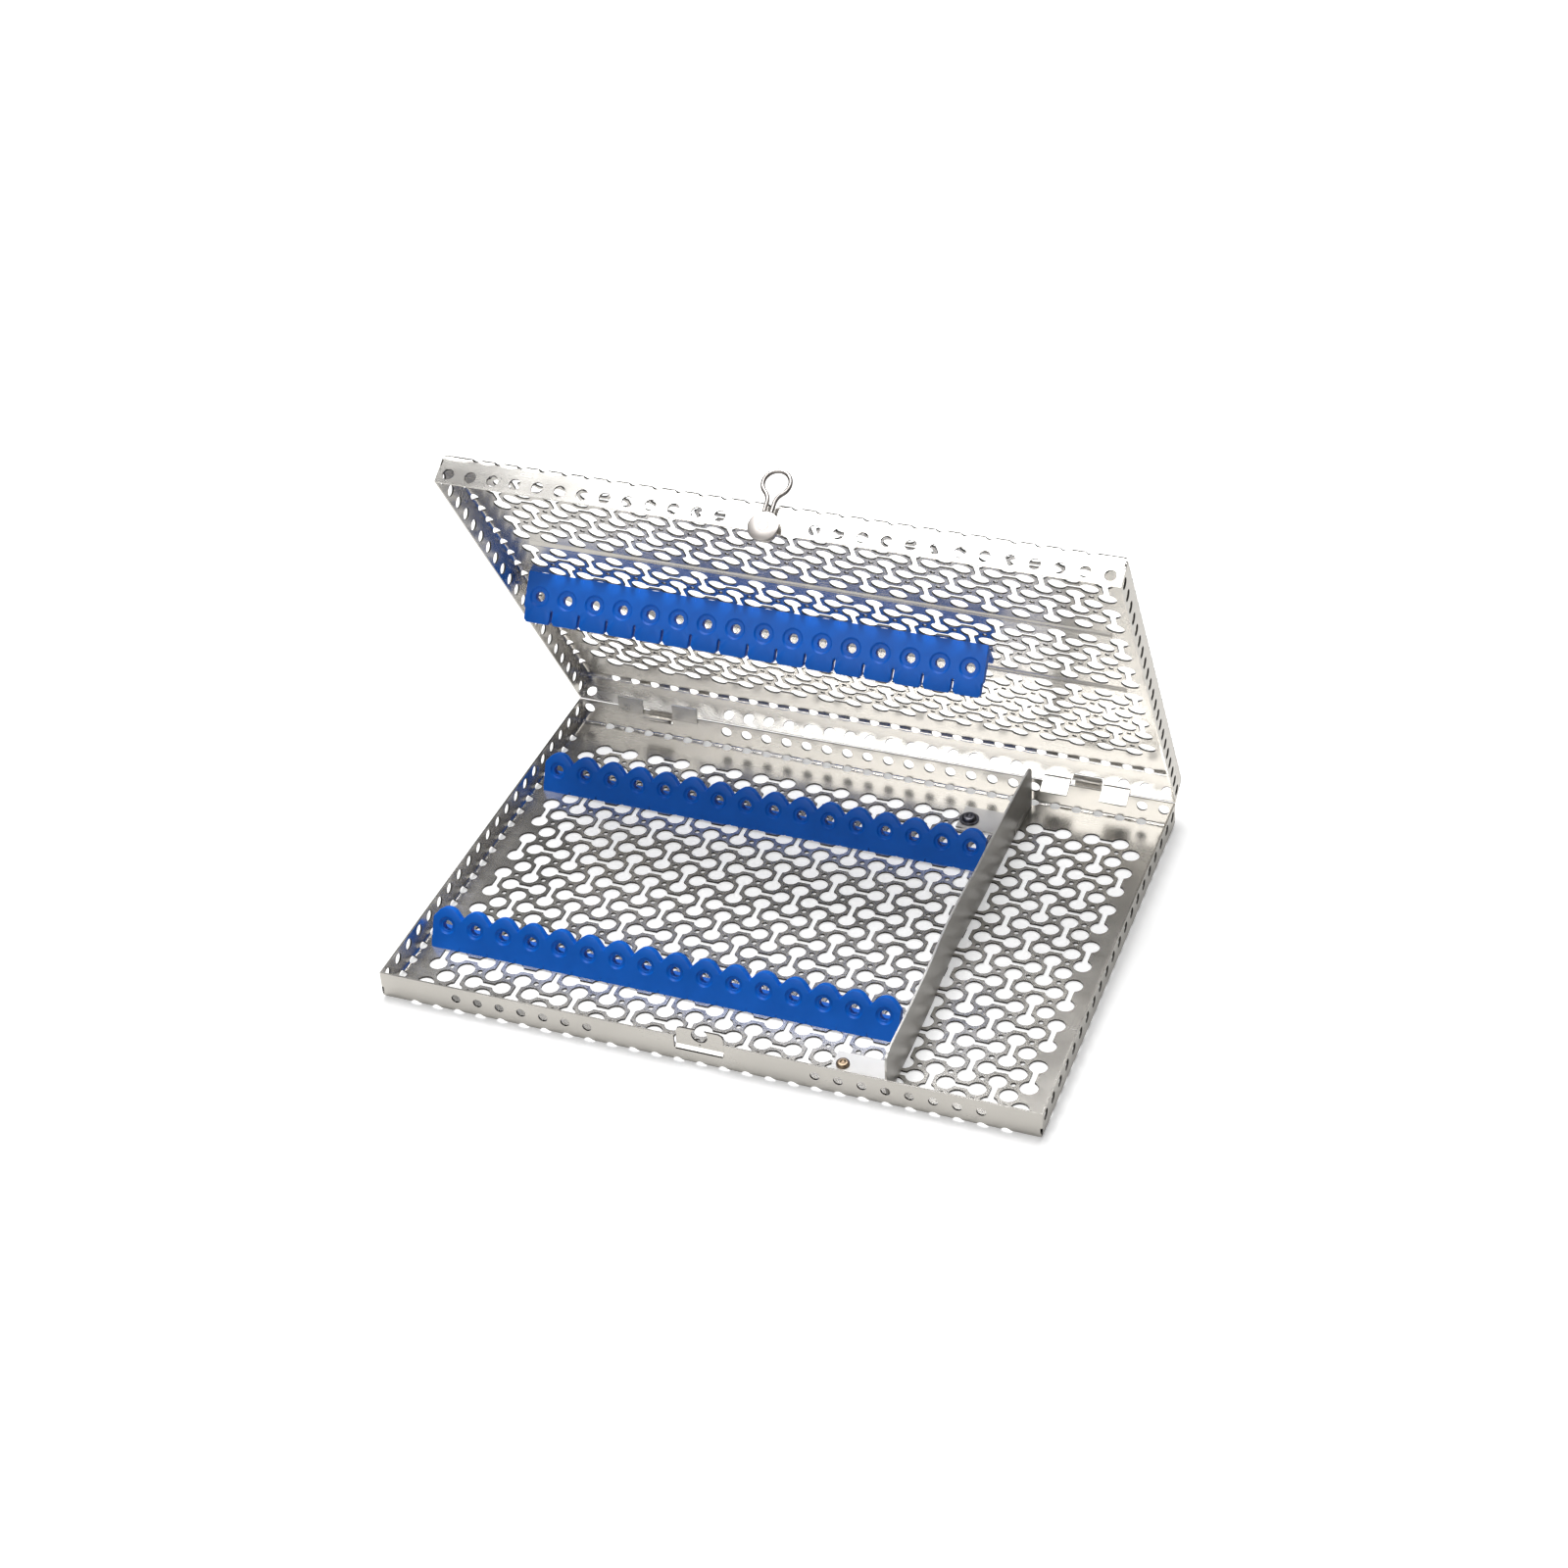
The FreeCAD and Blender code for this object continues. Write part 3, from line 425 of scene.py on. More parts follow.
def bendStrip(length, places):
    # The lower part of a wall, the fold and a strip of floor, with holes through the fold. Drawn for
    # a wall along x: outer face at y = 0, floor towards +y, underside at z = 0.
    bend = tray["bend"]
    straight = tray["depth"] - tray["flatWall"] - bend
    arcLength = bend * math.pi / 2
    whole = straight + arcLength + tray["floorStrip"]
    middle = straight + arcLength * tray["foldHolePlace"]
    step = length / places
    side = 8  # points on each side of a hole's cell
    shares = (0, 0.12, 0.3, 0.55, 0.78, 1)  # rings from the hole out to the cell's edge

    def fold(u, v):
        if v < straight:
            across, up = 0, tray["depth"] - tray["flatWall"] - v
        elif v < straight + arcLength:
            turn = (v - straight) / bend
            across, up = bend * (1 - math.cos(turn)), bend * (1 - math.sin(turn))
        else:
            across, up = bend + v - straight - arcLength, 0
        reach = min(u, length - u)
        if reach < step:
            mitred = across + reach * (step - across) / step
            u = mitred if u < length / 2 else length - mitred
        return (u, across, up)

    def cellEdge(x0, x1, v0, v1):
        points = [(x0 + (x1 - x0) * k / side, v0) for k in range(side)]
        points += [(x1, v0 + (v1 - v0) * k / side) for k in range(side)]
        points += [(x1 - (x1 - x0) * k / side, v1) for k in range(side)]
        points += [(x0, v1 - (v1 - v0) * k / side) for k in range(side)]
        return points

    work = bmesh.new()
    for place in range(places):
        x0, x1 = place * step, (place + 1) * step
        edge = cellEdge(x0, x1, 0, whole)
        centre = ((x0 + x1) / 2, middle)
        rings = []
        holed = 0 < place < places - 1
        inner = tray["foldHoleRadius"] if holed else 0.2
        for share in shares:
            ring = []
            for x, v in edge:
                dx, dv = x - centre[0], v - centre[1]
                far = math.hypot(dx, dv)
                start = (centre[0] + dx / far * inner, centre[1] + dv / far * inner)
                ring.append((start[0] + (x - start[0]) * share, start[1] + (v - start[1]) * share))
            rings.append([work.verts.new(fold(*point)) for point in ring])
        count = len(edge)
        for near, far in zip(rings, rings[1:]):
            for number in range(count):
                following = (number + 1) % count
                work.faces.new((near[number], near[following], far[following], far[number]))
        if not holed:
            work.faces.new(rings[0])
    bmesh.ops.remove_doubles(work, verts=work.verts, dist=0.01)
    bmesh.ops.recalc_face_normals(work, faces=work.faces)
    outermost = min(work.faces, key=lambda item: item.calc_center_median().y)
    if outermost.normal.y > 0:
        bmesh.ops.reverse_faces(work, faces=work.faces)
    mesh = bpy.data.meshes.new("bendStrip")
    work.to_mesh(mesh)
    work.free()
    mesh.shade_smooth()
    holder = bpy.data.objects.new("bendStrip", mesh)
    bpy.context.scene.collection.objects.link(holder)
    thick = holder.modifiers.new("Sheet", "SOLIDIFY")
    thick.thickness = tray["sheet"]
    thick.offset = -1
    thick.material_offset_rim = 1
    for slot in range(2):  # the second slot marks the walls of the holes
        mesh.materials.append(traySteel)
    return evaluated(holder, "bendStripSheet")


def turnedCopy(mesh, matrix):
    copy = mesh.copy()
    copy.transform(Matrix(matrix))
    return copy


def extruded(name, points, axis, start, end):
    # A closed outline pushed along an axis: axis X takes (y, z) points, axis Y takes (x, z)
    work = bmesh.new()

    def at(point, along):
        if axis == "X":
            return (along, point[0], point[1])
        return (point[0], along, point[1])

    rings = [[work.verts.new(at(point, along)) for point in points] for along in (start, end)]
    count = len(points)
    for number in range(count):
        following = (number + 1) % count
        work.faces.new((rings[0][number], rings[0][following], rings[1][following], rings[1][number]))
    work.faces.new(rings[0])
    work.faces.new(rings[1])
    bmesh.ops.recalc_face_normals(work, faces=work.faces)
    mesh = bpy.data.meshes.new(name)
    work.to_mesh(mesh)
    work.free()
    return mesh


hinge = {
    "tonguePlace": 100.3,
    "tongueRadius": 4.4,
    "tongueWidth": 12.0,
    "tongueLap": 20.0,
    "tabOffset": 13.2,
    "tabRise": 6.6,
    "tabInset": 1.1,
    "tabChamfer": 0.25,
    "slotSide": 0.6,
    "slotGap": 0.7,
}


def hingeParts():
    # The C-shaped tongue on the right and the two guide tabs beside the slot
    sheet = tray["sheet"]
    steps = 24
    begin = -90 - math.degrees(math.asin(sheet / 2 / hinge["tongueRadius"]))
    finish = 90 + hinge["tongueLap"]
    turns = [math.radians(begin + (finish - begin) * step / steps) for step in range(steps + 1)]
    outer = hinge["tongueRadius"] + sheet / 2
    inner = hinge["tongueRadius"] - sheet / 2
    ring = [(outer * math.cos(turn), outer * math.sin(turn)) for turn in turns]
    ring += [(inner * math.cos(turn), inner * math.sin(turn)) for turn in reversed(turns)]
    half = hinge["tongueWidth"] / 2
    parts = [extruded("tongue", ring, "X", hinge["tonguePlace"] - half, hinge["tonguePlace"] + half)]
    face = -hinge["tabInset"]
    back = face - sheet
    root = rim - 3 * sheet
    middle = -sheet / 2
    top = rim + hinge["tabRise"]
    seam = rim - tray["rimGap"]
    chamfer = hinge["tabChamfer"]
    profile = [(middle, root), (-sheet, root), (back, root + hinge["tabInset"]),
               (back, top - chamfer), (back + chamfer, top), (face - chamfer, top),
               (face, top - chamfer), (face, seam), (middle, seam)]
    for side in (-1, 1):
        centre = -hinge["tonguePlace"] + side * hinge["tabOffset"]
        parts.append(extruded("guideTab", profile, "X", centre - half, centre + half))
    return parts


# The four walls: a flat upper part cut from a perforated sheet, and the fold below it

def holeRow(places, count, span, drop, radius):
    return [roundHole((place + 0.5) * span / count, drop, radius) for place in places]


def trayParts(name, frontHoles, rearHoles, frontRadius, frontDrop, ribRows, notch):
    # Each wall is drawn flat, with x along the wall and y down from the rim, then stood up
    length, width = tray["length"], tray["width"]
    sheet, flat = tray["sheet"], tray["flatWall"]
    wallPlaces, sidePlaces = tray["wallPlaces"], tray["sidePlaces"]
    drop, radius = tray["wallHoleDrop"], tray["wallHoleRadius"]
    margin = tray["bend"] + tray["floorStrip"]
    floorOutline = [rectanglePoints(left + margin, front + margin, -left - margin, -margin)]
    floor = perforated(name + "Floor", floorOutline, floorHoles(ribRows), sheet)
    floor.transform(Matrix.Translation((0, 0, underside)))
    parts = [floor]

    outline = rectanglePoints(0, 0, length, flat)
    if notch:
        half = notch["width"] / 2
        outline = [(0, 0), (length / 2 - half, 0), (length / 2 - half, notch["deep"]),
                   (length / 2 + half, notch["deep"]), (length / 2 + half, 0), (length, 0),
                   (length, flat), (0, flat)]
    holes = holeRow(frontHoles, wallPlaces, length, frontDrop, frontRadius)
    wall = perforated(name + "Front", [outline], holes, sheet)
    parts.append(turnedCopy(wall, ((1, 0, 0, left), (0, 0, 1, front), (0, -1, 0, rim), (0, 0, 0, 1))))

    slotX = length / 2 - hinge["tonguePlace"]
    slotHalf = hinge["tongueWidth"] / 2 + hinge["slotSide"]
    reach = sheet / 2 + hinge["slotGap"]
    slot = rectanglePoints(slotX - slotHalf, hinge["tongueRadius"] - reach + rim,
                           slotX + slotHalf, hinge["tongueRadius"] + reach + rim)
    holes = holeRow(rearHoles, wallPlaces, length, drop, radius)
    wall = perforated(name + "Rear", [rectanglePoints(0, 0, length, flat), slot], holes, sheet)
    parts.append(turnedCopy(wall, ((1, 0, 0, left), (0, 0, -1, 0), (0, -1, 0, rim), (0, 0, 0, 1))))

    holes = holeRow(range(sidePlaces), sidePlaces, width, drop, radius)
    outline = rectanglePoints(sheet, 0, width - sheet, flat)  # ends inside the long walls
    wall = perforated(name + "Side", [outline], holes, sheet)
    for end in (1, -1):
        stand = ((0, 0, end, end * left), (1, 0, 0, front), (0, -1, 0, rim), (0, 0, 0, 1))
        parts.append(turnedCopy(wall, stand))

    for strip, turns in ((bendStrip(length, wallPlaces), (0, 2)), (bendStrip(width, sidePlaces), (1, 3))):
        for turn in turns:
            corner = ((left, front), (-left, front), (-left, 0), (left, 0))[turn]
            place = Matrix.Translation((*corner, underside))
            parts.append(turnedCopy(strip, place @ Matrix.Rotation(turn * math.pi / 2, 4, "Z")))
    return parts + hingeParts()


def finishTray(name, parts, matrix, body, node):
    mesh = joinMeshes(name, parts)
    # cutEdge marks the hole walls, which get the painted shade and the matt finish
    cut = mesh.attributes.new("cutEdge", "FLOAT", "FACE")
    for face in mesh.polygons:
        cut.data[face.index].value = float(face.material_index > 0)
        face.material_index = 0
    meshPiece(name, mesh, matrix, traySteel, body, (node,))


catch = {
    "width": 20.0,
    "inset": 1.15,
    "top": 4.0,
    "holeRadius": 3.5,
    "throat": 4.4,
    "jogBottom": 7.3,
    "jogTop": 8.5,
    "notchSide": 0.6,
    "corner": 2.0,
    "earRadius": 5.2,
    "latchRise": 1.35,  # latch axis from the hinge plane
}
latchRise = catch["latchRise"]


def catchTab():
    # A tab jogged inside the front wall with a keyhole open at the top
    sheet = tray["sheet"]
    half = catch["width"] / 2
    low = underside + catch["jogTop"]
    top = rim + catch["top"]
    radius = catch["holeRadius"]
    mouth = catch["throat"] / 2
    start = math.degrees(math.acos(mouth / radius))
    turns = [math.radians(start + (-180 - 2 * start) * step / 24) for step in range(25)]
    key = [(radius * math.cos(turn), latchRise + radius * math.sin(turn)) for turn in turns]
    corner = catch["corner"]
    outline = [(-half, low), (half, low), (half, top - corner), (half - corner * 0.3, top - corner * 0.3),
               (half - corner, top), (mouth, top)] + key + [(-mouth, top), (-half + corner, top),
               (-half + corner * 0.3, top - corner * 0.3), (-half, top - corner)]
    plate = perforated("catchPlate", [outline], [roundHole(0, low + 1.4, 0.35)], sheet)
    inset = front + catch["inset"]
    plate.transform(Matrix(((1, 0, 0, 0), (0, 0, 1, inset), (0, 1, 0, 0), (0, 0, 0, 1))))
    plate.flip_normals()
    jog = underside + catch["jogBottom"]
    profile = [(front, jog - sheet), (front + sheet, jog - sheet), (front + sheet, jog),
               (inset + sheet, low), (inset, low), (front, jog)]
    return [plate, extruded("catchJog", profile, "X", -half, half)]


# A tray takes the places of its front and rear holes, the front holes' size and drop, its ribs' rows
# and the notch for the catch
baseParts = trayParts("base", list(range(3, 10)) + list(range(19, 27)),
                      [0] + list(range(7, 24)) + [26, 27, 28], tray["frontHoleRadius"],
                      tray["frontHoleDrop"], (),
                      {"width": catch["width"] + 2 * catch["notchSide"],
                       "deep": tray["depth"] - catch["jogBottom"]})
finishTray("baseTrayShell", baseParts + catchTab(), baseFrame, "base", "base_tray")
print("base tray made")


def lidExtras():
    # Two pressed ribs and the round ear about the latch
    parts = []
    span = tray["length"] - 2 * tray["ribMargin"]
    half = tray["ribWidth"] / 2
    tall = tray["ribHeight"]
    for row in tray["ribRows"]:
        y = front + (row + 0.5) * tray["gridPitch"]
        arch = [(y - half + 2 * half * step / 12, floorTop - 0.05 + tall * math.sin(math.pi * step / 12))
                for step in range(13)]
        parts.append(extruded("rib", arch, "X", -span / 2, span / 2))
    radius = catch["earRadius"]
    root = rim - 0.5
    turns = [math.pi * step / 24 for step in range(25)]
    ear = [(radius * math.cos(turn), -latchRise + radius * math.sin(turn)) for turn in turns]
    ear = [(radius, root)] + [point for point in ear if point[1] > root] + [(-radius, root)]
    parts.append(extruded("ear", ear, "Y", front, front + tray["sheet"]))
    return parts


lidParts = trayParts("lid", list(range(0, 13)) + list(range(16, 29)),
                     [0, 1, 2] + list(range(7, 22)) + [28], tray["wallHoleRadius"],
                     tray["wallHoleDrop"], tray["ribRows"], None)
finishTray("lidTrayShell", lidParts + lidExtras(), lidFrame, "lid", "lid_tray")
print("lid tray made")


# Silicone racks

rack = {
    "pitch": 12.8,
    "places": 16,
    "start": 5.0,
    "thickness": 3.6,
    "height": 16.5,
    "lean": 24.0,
    "notchDepth": 4.5,
    "bumpRadius": 5.4,
    "holeRadius": 2.1,
    "sinkRadius": 3.75,
    "sinkDepth": 0.7,
    "holeRise": 9.3,
    "footDepth": 13.5,
    "footHeight": 2.0,
    "frontPlace": 34.5,
    "rearPlace": 148.0,
    "edge": 0.5,
}
lidRack = {
    "place": 98.2,
    "height": 19.7,
    "lean": 25.5,
    "fingerLength": 6.5,
    "slit": 1.0,
    "sinkRadius": 4.5,
}


def rackCell(work, x0, profile, holeHeight, holeRadius, sinkRadius):
    # One place of a rack: rings from the hole out to the outline, on the back and on the face
    pitch = rack["pitch"]
    centre = (x0 + pitch / 2, holeHeight)
    thick, edge, sink = rack["thickness"], rack["edge"], rack["sinkDepth"]
    count = 48
    turns = [2 * math.pi * number / count for number in range(count)]
    boundary = [profile(math.cos(turn), math.sin(turn), pitch / 2, holeHeight) for turn in turns]

    def ring(reaches, depths):
        return [work.verts.new((centre[0] + reach * math.cos(turn), depth,
                                centre[1] + reach * math.sin(turn)))
                for turn, reach, depth in zip(turns, reaches, depths)]

    def circle(radius, depth):
        return ring([radius] * count, [depth] * count)

    def outer(inset, joined, free):  # along the outline, rounded where no neighbour joins on
        return ring([far - inset if loose else far for far, loose in boundary],
                    [free if loose else joined for far, loose in boundary])

    def band(near, far, freeOnly=False):
        for number in range(count):
            following = (number + 1) % count
            if not freeOnly or boundary[number][1] and boundary[following][1]:
                work.faces.new((near[number], near[following], far[following], far[number]))

    back = [circle(holeRadius, thick), outer(edge, thick, thick),
            outer(edge * 0.3, thick, thick - edge * 0.3), outer(0, thick, thick - edge)]
    face = [outer(0, 0, edge), outer(edge * 0.3, 0, edge * 0.3), outer(edge, 0, 0),
            circle(sinkRadius, 0), circle(sinkRadius - 0.35, sink * 0.5),
            circle(sinkRadius - 0.8, sink), circle(holeRadius + 0.15, sink),
            circle(holeRadius, sink + 0.2)]
    for near, far in zip(back, back[1:]):
        band(near, far)
    band(back[-1], face[0], freeOnly=True)
    for near, far in zip(face, face[1:] + back[:1]):
        band(near, far)


def bumpProfile(top, radius, valley):
    # How far a ray from the hole goes before it meets the bump's outline
    centre = top - radius

    def meet(dx, dz, half, rise):
        best = 1e9
        if abs(dx) > 1e-6:
            best = half / abs(dx)
        if dz < -1e-6:
            best = min(best, rise / -dz)
        touch = math.acos(min(1.0, radius / math.hypot(half, centre - valley)))
        flank = math.atan2(valley - centre, half) + touch
        # the round top
        down = centre - rise
        along = dz * down
        inside = along ** 2 - down ** 2 + radius ** 2
        if inside > 0:
            far = along + math.sqrt(inside)
            x, z = far * dx, rise + far * dz
            if 0 < far < best and math.atan2(z - centre, abs(x)) > flank - 1e-6:
                return far, True
        # the straight flank from the notch up to it
        ax = abs(dx)
        ex, ez = radius * math.cos(flank) - half, centre + radius * math.sin(flank) - valley
        cross = dz * ex - ax * ez
        if abs(cross) > 1e-9:
            far = ((valley - rise) * ex - half * ez) / cross
            share = (ax * (valley - rise) - dz * half) / cross
            if far > 0 and -0.001 <= share <= 1.001 and far <= best + 1e-6:
                return far, True
        return best, False

    return meet


def rackBlade(name, start, profile, holeHeight, holeRadius, sinkRadius, lean, place):
    work = bmesh.new()
    for number in range(rack["places"]):
        rackCell(work, start + number * rack["pitch"], profile, holeHeight, holeRadius, sinkRadius)
    bmesh.ops.remove_doubles(work, verts=work.verts, dist=0.02)
    ends = [edge for edge in work.edges if edge.is_boundary]
    bmesh.ops.holes_fill(work, edges=ends, sides=0)
    bmesh.ops.recalc_face_normals(work, faces=work.faces)
    cut = bmesh.ops.bisect_plane(
        work, geom=list(work.verts) + list(work.edges) + list(work.faces),
        plane_co=(0, 0, 0), plane_no=(0, -math.sin(lean), math.cos(lean)), clear_inner=True)
    rims = [item for item in cut["geom_cut"] if isinstance(item, bmesh.types.BMEdge)]
    bmesh.ops.holes_fill(work, edges=rims, sides=0)
    mesh = bpy.data.meshes.new(name)
    work.to_mesh(mesh)
    work.free()
    mesh.transform(Matrix.Translation((0, front + place, floorTop)) @ Matrix.Rotation(-lean, 4, "X"))
    return mesh


def rackPiece(name, start, profile, rise, holeRadius, sinkRadius, lean, place, matrix, body, node):
    blade = rackBlade(name + "Blade", start, profile, rise, holeRadius, sinkRadius, lean, place)
    end = start + rack["pitch"] * rack["places"]
    foot = [(front + place + 0.3, floorTop), (front + place + rack["footDepth"], floorTop),
            (front + place + rack["footDepth"], floorTop + rack["footHeight"] - 0.5),
            (front + place + rack["footDepth"] - 0.5, floorTop + rack["footHeight"]),
            (front + place + 1.2, floorTop + rack["footHeight"])]
    parts = [blade, extruded("foot", foot, "X", start, end)]
    meshPiece(name, joinMeshes(name, parts), matrix, blueSilicone, body, (node,))


lean = math.radians(rack["lean"])
top = rack["height"] / math.cos(lean)
bumps = bumpProfile(top, rack["bumpRadius"], top - rack["notchDepth"])
rise = rack["holeRise"] / math.cos(lean)
for name, place, node in (("frontRack", rack["frontPlace"], "base_front_rack"),
                          ("rearRack", rack["rearPlace"], "base_rear_rack")):
    rackPiece(name, left + rack["start"], bumps, rise, rack["holeRadius"], rack["sinkRadius"],
              lean, place, baseFrame, "base", node)


def fingerProfile(top, valley, slit):
    # A square finger above the fold line, with half a slit on each side
    def meet(dx, dz, half, rise):
        ax = abs(dx)
        narrow = half - slit / 2
        best, free = 1e9, False
        if ax > 1e-6:
            far = half / ax
            if rise + far * dz <= valley:
                best, free = far, False
            else:
                best, free = narrow / ax, True
        if dz < -1e-6 and rise / -dz < best:
            best, free = rise / -dz, False
        if dz > 1e-6 and (top - rise) / dz < best:
            best, free = (top - rise) / dz, True
        return best, free

    return meet


lidLean = math.radians(lidRack["lean"])
lidTop = lidRack["height"] / math.cos(lidLean)
fingers = fingerProfile(lidTop, lidTop - lidRack["fingerLength"], lidRack["slit"])
rackPiece("lidRackBlade", -left - rack["start"] - rack["pitch"] * rack["places"], fingers,
          rack["holeRise"] / math.cos(lidLean), rack["holeRadius"], lidRack["sinkRadius"], lidLean,
          lidRack["place"], lidFrame, "lid", "lid_rack")
print("racks made")

# Latch: a chamfered disc and a wire bent to a bulb, and the round heads of the rivets

latch = {
    "discRadius": 6.25,
    "discThickness": 1.2,
    "discGap": 2.0,
    "discEdge": 0.3,
    "tenonRadius": 2.0,
    "loopLength": 25.0,
    "loopWidth": 12.7,
    "loopNeck": 4.8,
    "loopFlare": 6.0,
    "wireRadius": 0.9,
}
rivets = {
    "place": 193.7,
    "headHeight": 1.6,
    "shank": 1.1,
    "seat": 0.8,
    "washerThickness": 0.8,
    "dimple": 0.55,
    "frontRadius": 2.75,
    "frontPlace": 15.9,
    "rearRadius": 3.2,
    "rearPlace": 181.0,
}


def turnedSolid(name, profile, closed=False):
    # A profile of (radius, height) points turned about the z axis
    steps = 56
    work = bmesh.new()
    rings = []
    for radius, height in profile:
        if radius < 1e-6:
            rings.append([work.verts.new((0, 0, height))] * steps)
            continue
        rings.append([work.verts.new((x, y, height)) for x, y in ringPoints(radius, steps)])
    pairs = list(zip(rings, rings[1:]))
    if closed:
        pairs.append((rings[-1], rings[0]))
    for near, far in pairs:
        for number in range(steps):
            following = (number + 1) % steps
            corners = [near[number], near[following], far[following], far[number]]
            corners = [corner for k, corner in enumerate(corners) if corner not in corners[:k]]
            work.faces.new(corners)
    bmesh.ops.recalc_face_normals(work, faces=work.faces)
    mesh = bpy.data.meshes.new(name)
    work.to_mesh(mesh)
    work.free()
    return mesh


def bulbPath(steps=14):
    # The wire's centre line: neck, flare, round end and back, every arc tangent to the next
    neck = latch["loopNeck"] / 2 - latch["wireRadius"]
    bulb = latch["loopWidth"] / 2 - latch["wireRadius"]
    flare = latch["loopFlare"]
    centre = latch["loopLength"] - latch["wireRadius"] - bulb
    aside = neck + flare
    shoulder = centre - math.sqrt((flare + bulb) ** 2 - aside ** 2)
    leanAngle = math.atan2(centre - shoulder, aside)
    start = math.sqrt(latch["discRadius"] ** 2 - neck ** 2) - 0.1
    side = [(neck, start)]
    for step in range(steps + 1):
        turn = leanAngle * step / steps
        side.append((aside - flare * math.cos(turn), shoulder + flare * math.sin(turn)))
    for step in range(1, 2 * steps + 1):
        turn = -leanAngle + (math.pi / 2 + leanAngle) * step / (2 * steps)
        side.append((bulb * math.cos(turn), centre + bulb * math.sin(turn)))
    return side + [(-x, out) for x, out in reversed(side[:-1])]


def wireLoop():
    curve = bpy.data.curves.new("wire", "CURVE")
    curve.dimensions = "3D"
    curve.bevel_depth = latch["wireRadius"]
    curve.bevel_resolution = 5
    curve.use_fill_caps = True
    depth = front - latch["discGap"] - latch["discThickness"] / 2
    path = bulbPath()
    spline = curve.splines.new("POLY")
    spline.points.add(len(path) - 1)
    for point, (x, out) in zip(spline.points, path):
        point.co = (x, depth, -latchRise - out, 1)
    holder = bpy.data.objects.new("wire", curve)
    bpy.context.scene.collection.objects.link(holder)
    return evaluated(holder, "wire")


def latchDisc():
    edge = latch["discEdge"]
    radius, thick = latch["discRadius"], latch["discThickness"]
    bore = latch["tenonRadius"] + 0.02
    profile = [(bore, 0), (radius - edge / 2, 0), (radius, edge / 2), (radius, thick - edge),
               (radius - edge * 0.3, thick - edge * 0.3), (radius - edge, thick),
               (bore + 0.15, thick), (bore, thick - 0.15)]
    mesh = turnedSolid("latchDisc", profile, closed=True)
    place = Matrix.Translation((0, front - latch["discGap"], -latchRise))
    mesh.transform(place @ Matrix.Rotation(math.pi / 2, 4, "X"))
    return mesh


def rivetHead(name, radius, y, lift):
    # A low dome with a dimple in the middle, on its shank
    height, shank = rivets["headHeight"], rivets["shank"]
    flat = radius * 0.62
    dimple = radius - flat
    hollow = height - rivets["dimple"]
    foot = -lift - rivets["seat"] - tray["sheet"] + 0.1
    profile = [(0, hollow), (dimple * 0.7, hollow), (dimple, height - 0.12),
               (dimple + 0.15, height), (flat, height)]
    for step in range(1, 7):
        turn = math.pi / 2 * step / 6
        profile.append((flat + dimple * math.sin(turn), height * (0.35 + 0.65 * math.cos(turn))))
    profile += [(radius, 0), (shank, 0), (shank, foot), (0, foot)]
    mesh = turnedSolid(name, profile)
    seat = floorTop + rivets["seat"] + lift
    mesh.transform(Matrix.Translation((left + rivets["place"], front + y, seat)))
    return mesh


meshPiece("latchDiscFinished", latchDisc(), lidFrame, latchSteel, "latch",
          ("latch_disc",))
meshPiece("latchWire", wireLoop(), lidFrame, latchSteel, "latch",
          ("latch_wire_loop",))
for side, finish, lift in (("front", brownRivet, 0), ("rear", darkRivet, rivets["washerThickness"])):
    head = rivetHead(side + "Rivet", rivets[side + "Radius"], rivets[side + "Place"], lift)
    meshPiece(side + "RivetHead", head, baseFrame, finish, "base",
              ("divider_" + side + "_rivet",))
print("latch and rivets made")

finishes = {
    "compartment_divider": stripSteel,
    "divider_rear_washer": darkRivet,
    "latch_washer": latchSteel,
    "latch_stud": latchSteel,
}
for node, finish in finishes.items():
    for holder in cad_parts[node].material_slots:
        holder.material = finish
print("carried-over pieces finished")


# Floor, light and camera

lights = {
    "keyLight": {"place": (-0.15, 0.33, 1.3), "target": (0, 0, 0.03), "size": 0.95, "power": 26},
    "frontLight": {"place": (-0.2, -1.1, 0.9), "target": (0, 0, 0.08), "size": 0.8, "power": 6},
}
studio = {
    "floorReach": 3.0,
    "floorHeight": -0.0002,
    "floorColor": (0.80, 0.80, 0.80),
    "floorGlow": 0.34,
    "mirroredGlow": 0.10,
    "mirroredColor": (0.62, 0.61, 0.59),
    "fadeStart": 0.2,
    "fadeEnd": 0.6,
    "cameraTarget": (-0.03334, 0.08264, 0.0),
    "cameraAzimuth": 0.391854,
    "cameraElevation": 0.636581,
    "cameraRoll": -0.060321,
    "cameraDistance": 1.27467,
    "focalPixels": 2920.52,
    "framePixels": 1600,
    "sensor": 36.0,
}


def pathMix(tree, room, white, outputSocket):
    # Plain white for the camera and through clear things, the real room for light and reflections
    path = tree.nodes.new("ShaderNodeLightPath")
    either = tree.nodes.new("ShaderNodeMath")
    either.operation = "MAXIMUM"
    tree.links.new(path.outputs["Is Camera Ray"], either.inputs[0])
    tree.links.new(path.outputs["Is Transmission Ray"], either.inputs[1])
    mix = tree.nodes.new("ShaderNodeMixShader")
    tree.links.new(either.outputs["Value"], mix.inputs["Fac"])
    tree.links.new(room, mix.inputs[1])
    tree.links.new(white, mix.inputs[2])
    tree.links.new(mix.outputs["Shader"], outputSocket)


